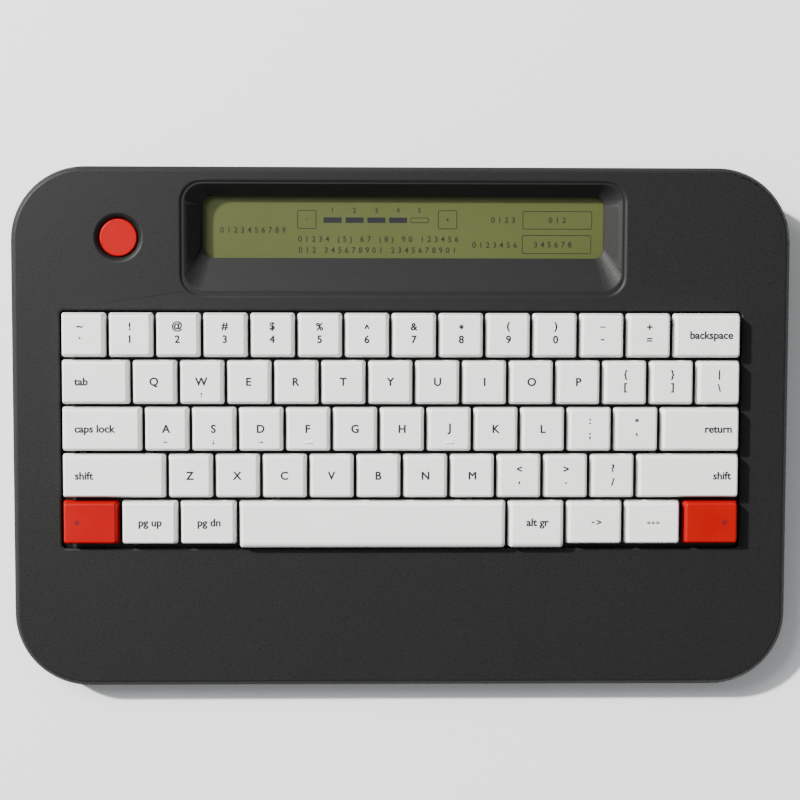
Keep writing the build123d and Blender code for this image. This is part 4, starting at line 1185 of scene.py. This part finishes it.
class SLAB_OT_legends(bpy.types.Operator):
    """Print the legends on the keycaps."""

    bl_idname = "slab.legends"
    bl_label = "Key legends"

    def execute(self, context):
        settings = context.scene.slab_keys
        capital = capital_size()
        arrow = model_arrow()
        by_node = {}
        for node, _, legends, x, y in key_centres():
            prints = by_node.setdefault(node, [])
            for words, right, behind, size, side in legends:
                legend = lettering(
                    words, size * MM, side, settings.weight, capital, spread=settings.spread
                )
                place = (x + right * MM, y + (behind + LEGEND_RISE) * MM, PRINT_HEIGHT)
                legend.data.transform(ON_DECK @ Matrix.Translation(place))
                prints.append(legend)
            if node in ARROWS:
                place = Matrix.Translation((x, y + ARROW_Y, PRINT_HEIGHT))
                turn = Matrix.Rotation(math.radians(ARROWS[node]), 4, "Z")
                prints.append(copy_of(arrow, node + "_arrow", ON_DECK @ place @ turn))
        for node, prints in by_node.items():
            if not prints:
                continue
            whole = join(prints, node + "_legend")
            paint(whole, "legend_ink_red" if node in RED_KEYS else "legend_ink")
            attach(whole, node)
        discard(arrow)
        return {"FINISHED"}


# ======== Display ========


def outline_box(left, right, front, rear):
    """A thin rounded frame: a rectangle with rounded corners and its middle taken out."""
    box = flat_bar(left, right, front, rear)
    shape(box)
    bpy.ops.mesh.select_all(action="SELECT")
    bpy.ops.mesh.bevel(offset=BOX_CORNER, segments=3, affect="VERTICES")
    bpy.ops.mesh.select_all(action="SELECT")
    bpy.ops.mesh.inset(thickness=BOX_LINE)
    bpy.ops.mesh.delete(type="FACE")
    settle()
    return box


class SLAB_OT_display(bpy.types.Operator):
    """Finish the display: olive glass, its marks, the clear cover and the light behind."""

    bl_idname = "slab.display"
    bl_label = "Display"

    def execute(self, context):
        capital = capital_size()
        marks = [outline_box(*box) for box in OUTLINE_BOXES]
        for words, x, y, size, side in DISPLAY_WORDS:
            spacing = DISPLAY_SPACING if len(words) > 1 else 1.0
            mark = lettering(words, size * MM, side, DISPLAY_WEIGHT, capital, spacing)
            mark.data.transform(Matrix.Translation((x * MM, y * MM, 0)))
            marks.append(mark)
        bars = [flat_bar(*bar) for bar in GAUGE_BARS]
        place = ON_DECK @ Matrix.Translation((0, 0, GLASS_SURFACE + MARK_LIFT))
        for pieces, name, finish in (
            (marks, "display_marks", "display_mark"),
            (bars, "display_gauge", "display_bar"),
        ):
            whole = paint(join(pieces, name), finish)
            whole.data.transform(place)
            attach(whole, "case")
        paint(frame["nodes"]["display_glass"], "lcd")
        paint(frame["nodes"]["display_backlight"], "light_guide")
        cover = working_copy("display_window", "clear_cover")
        shape(cover)
        pick_faces(cover, faces_down)
        bpy.ops.transform.translate(value=ON_DECK.to_3x3() @ Vector((0, 0, COVER_LIFT)))
        finish_copy(cover, "display_window", "cover_clear")
        return {"FINISHED"}


# ======== Button, stand, feet, screws ========


class SLAB_OT_power_button(bpy.types.Operator):
    """Refine the round power button: softened face edge and satin red."""

    bl_idname = "slab.power_button"
    bl_label = "Power button"

    def execute(self, context):
        def face_edge(a, b, fold):
            return fold > RIM_FOLD and min(a.z, b.z) > BUTTON_RIM

        refine("power_button", "power_button_cap", "button_red", 34, face_edge, BUTTON_EDGE)
        return {"FINISHED"}


class SLAB_OT_underside(bpy.types.Operator):
    """Refine the fold-out stand, the rubber feet and the charging inlet."""

    bl_idname = "slab.underside"
    bl_label = "Stand, feet and inlet"

    def execute(self, context):
        def sharp_edge(a, b, fold):
            return fold > SHARP_FOLD

        refine("fold_out_stand", "stand_flap", "stand_plastic", 35, sharp_edge, STAND_EDGE)
        refine("rubber_feet", "foot_pads", "foot_rubber", 35, sharp_edge, FOOT_EDGE)
        inlet = working_copy("charging_port", "charging_inlet")
        finish_copy(inlet, "charging_port", "port_steel", 35)
        return {"FINISHED"}


class SLAB_OT_screws(bpy.types.Operator):
    """Model one round cross-recess screw and set it in all six places."""

    bl_idname = "slab.screws"
    bl_label = "Case screws"

    def execute(self, context):
        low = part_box("case_screws")[0].z
        screw = self.model_screw()
        copies = [
            copy_of(screw, f"screw_{n}", Matrix.Translation((x, y, low)))
            for n, (x, y) in enumerate(self.screw_places())
        ]
        discard(screw)
        whole = join(copies, "screws")
        paint(whole, "screw_steel")
        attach(whole, "case")
        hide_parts("case_screws")
        return {"FINISHED"}

    def model_screw(self):
        """A screw that stands on its head at the origin."""
        head = disc("screw", HEAD_RADIUS, 0, HEAD_HEIGHT, sides=40)
        shape(head)
        pick_edges(head, lambda a, b, fold: max(a.z, b.z) < 0.01 * MM)
        bevel(HEAD_EDGE, 3)
        for turn in (0, 90):
            cross = block("cross", CROSS_SIZE, (0, 0, 0))
            shape(cross)
            pick_faces(cross, faces_up)
            bpy.ops.transform.resize(value=CROSS_TAPER, center_override=(0, 0, CROSS_SIZE[2] / 2))
            settle()
            cross.data.transform(Matrix.Rotation(math.radians(turn), 4, "Z"))
            cut_away(head, cross)
        shank = disc("shank", SHANK_RADIUS, SHANK_LOW, SHANK_HIGH, sides=20)
        shape(shank)
        pick_edges(shank, lambda a, b, fold: min(a.z, b.z) > SHANK_HIGH - TOUCH)
        bevel(SHANK_EDGE, 1)
        return smooth(join([head, shank], "screw"), 35)

    def screw_places(self):
        """Middles of the separate screws in the packed solid."""
        groups = []
        for point in frame["nodes"]["case_screws"].data.vertices:
            for group in groups:
                if (point.co - group[0]).to_2d().length < SCREW_SPREAD:
                    group.append(point.co)
                    break
            else:
                groups.append([point.co])
        if len(groups) != SCREW_COUNT:
            raise RuntimeError(f"found {len(groups)} screws instead of {SCREW_COUNT}")
        return [(middle_of([p.x for p in g]), middle_of([p.y for p in g])) for g in groups]


class SLAB_OT_wires(bpy.types.Operator):
    """Round the long edges of the three stabiliser wires, so that they look like round wire."""

    bl_idname = "slab.wires"
    bl_label = "Stabiliser wires"

    def execute(self, context):
        def long_fold(a, b, fold):
            return WIRE_FOLDS[0] < fold < WIRE_FOLDS[1] and (a - b).length > WIRE_EDGE_LENGTH

        for node in ("left_shift_wire", "right_shift_wire", "space_bar_wire"):
            refine(node, node + "_bent", "wire_steel", 50, long_fold, WIRE_EDGE)
        return {"FINISHED"}


class SLAB_OT_inner_parts(bpy.types.Operator):
    """Finish the parts inside the case."""

    bl_idname = "slab.inner_parts"
    bl_label = "Inner parts"

    def execute(self, context):
        for node, finish in (
            ("key_plate", "plate_steel"),
            ("keyboard_circuit_board", "keyboard_board"),
            ("switch_and_stabiliser_housings", "housing_black"),
            ("main_circuit_board", "board"),
            ("battery", "battery_foil"),
        ):
            paint(frame["nodes"][node], finish)
        return {"FINISHED"}


# ======== Stage ========


def add_light(name, kind, place, aim):
    """A light at a place that shines along a direction."""
    bpy.ops.object.light_add(type=kind, location=place)
    light = bpy.context.object
    light.name = name
    light.rotation_euler = aim.to_track_quat("-Z", "Y").to_euler()
    return light.data


class SLAB_OT_stage(bpy.types.Operator):
    """Set the pale floor, the lights and the camera."""

    bl_idname = "slab.stage"
    bl_label = "Floor, light and camera"

    def execute(self, context):
        stage = context.scene.slab_stage
        settle()
        bpy.ops.mesh.primitive_plane_add(size=FLOOR_SIZE, location=(0, 0, 0))
        floor = context.object
        floor.name = "floor"
        paint(floor, "floor_paper")

        sun = add_light("key_light", "SUN", SUN_PLACE, SUN_DIRECTION)
        sun.angle, sun.energy, sun.color = SUN_ANGLE, stage.sunlight, SUN_COLOUR
        softbox = add_light("soft_light", "AREA", SOFTBOX_PLACE, -SOFTBOX_PLACE)
        softbox.size, softbox.energy, softbox.color = SOFTBOX_SIZE, stage.softbox, SOFTBOX_COLOUR

        world = bpy.data.worlds.new("room")
        world.use_nodes = True
        backdrop = world.node_tree.nodes["Background"]
        backdrop.inputs["Color"].default_value = ROOM_COLOUR
        backdrop.inputs["Strength"].default_value = stage.fill
        context.scene.world = world

        place = (CAMERA_X, CAMERA_Y, stage.height)
        bpy.ops.object.camera_add(location=place, rotation=CAMERA_TURN)
        camera = context.object
        camera.name = "camera"
        camera.data.sensor_width = 36.0
        camera.data.lens = stage.lens
        camera.data.clip_start = 0.01
        camera.data.clip_end = 20.0
        context.scene.camera = camera
        settle()
        return {"FINISHED"}


# ======== Panel and registration ========


STEPS = (
    SLAB_OT_finishes,
    SLAB_OT_top_shell,
    SLAB_OT_bottom_shell,
    SLAB_OT_keycaps,
    SLAB_OT_legends,
    SLAB_OT_display,
    SLAB_OT_power_button,
    SLAB_OT_underside,
    SLAB_OT_screws,
    SLAB_OT_wires,
    SLAB_OT_inner_parts,
    SLAB_OT_stage,
)
SETTINGS = {
    "slab_keys": SLAB_PG_keys,
    "slab_case": SLAB_PG_case,
    "slab_display": SLAB_PG_display,
    "slab_stage": SLAB_PG_stage,
}


class SLAB_PT_panel(bpy.types.Panel):
    """Lists the pieces and their sizes and colours."""

    bl_label = "Word Processor"
    bl_idname = "SLAB_PT_panel"
    bl_space_type = "VIEW_3D"
    bl_region_type = "UI"
    bl_category = "Word Processor"

    def draw(self, context):
        for step in STEPS:
            self.layout.operator(step.bl_idname)
        for name, group in SETTINGS.items():
            box = self.layout.box()
            box.label(text=group.__doc__)
            for field in group.__annotations__:
                box.prop(getattr(context.scene, name), field)


def register():
    for group in SETTINGS.values():
        bpy.utils.register_class(group)
    for name, group in SETTINGS.items():
        setattr(bpy.types.Scene, name, bpy.props.PointerProperty(type=group))
    for step in STEPS:
        bpy.utils.register_class(step)
    bpy.utils.register_class(SLAB_PT_panel)


def unregister():
    bpy.utils.unregister_class(SLAB_PT_panel)
    for step in reversed(STEPS):
        bpy.utils.unregister_class(step)
    for name, group in SETTINGS.items():
        delattr(bpy.types.Scene, name)
        bpy.utils.unregister_class(group)


def main():
    register()
    bpy.ops.slab.finishes()
    bpy.ops.slab.top_shell()
    bpy.ops.slab.bottom_shell()
    bpy.ops.slab.keycaps()
    bpy.ops.slab.legends()
    bpy.ops.slab.display()
    bpy.ops.slab.power_button()
    bpy.ops.slab.underside()
    bpy.ops.slab.screws()
    bpy.ops.slab.wires()
    bpy.ops.slab.inner_parts()
    bpy.ops.slab.stage()


if __name__ == "__main__":
    main()
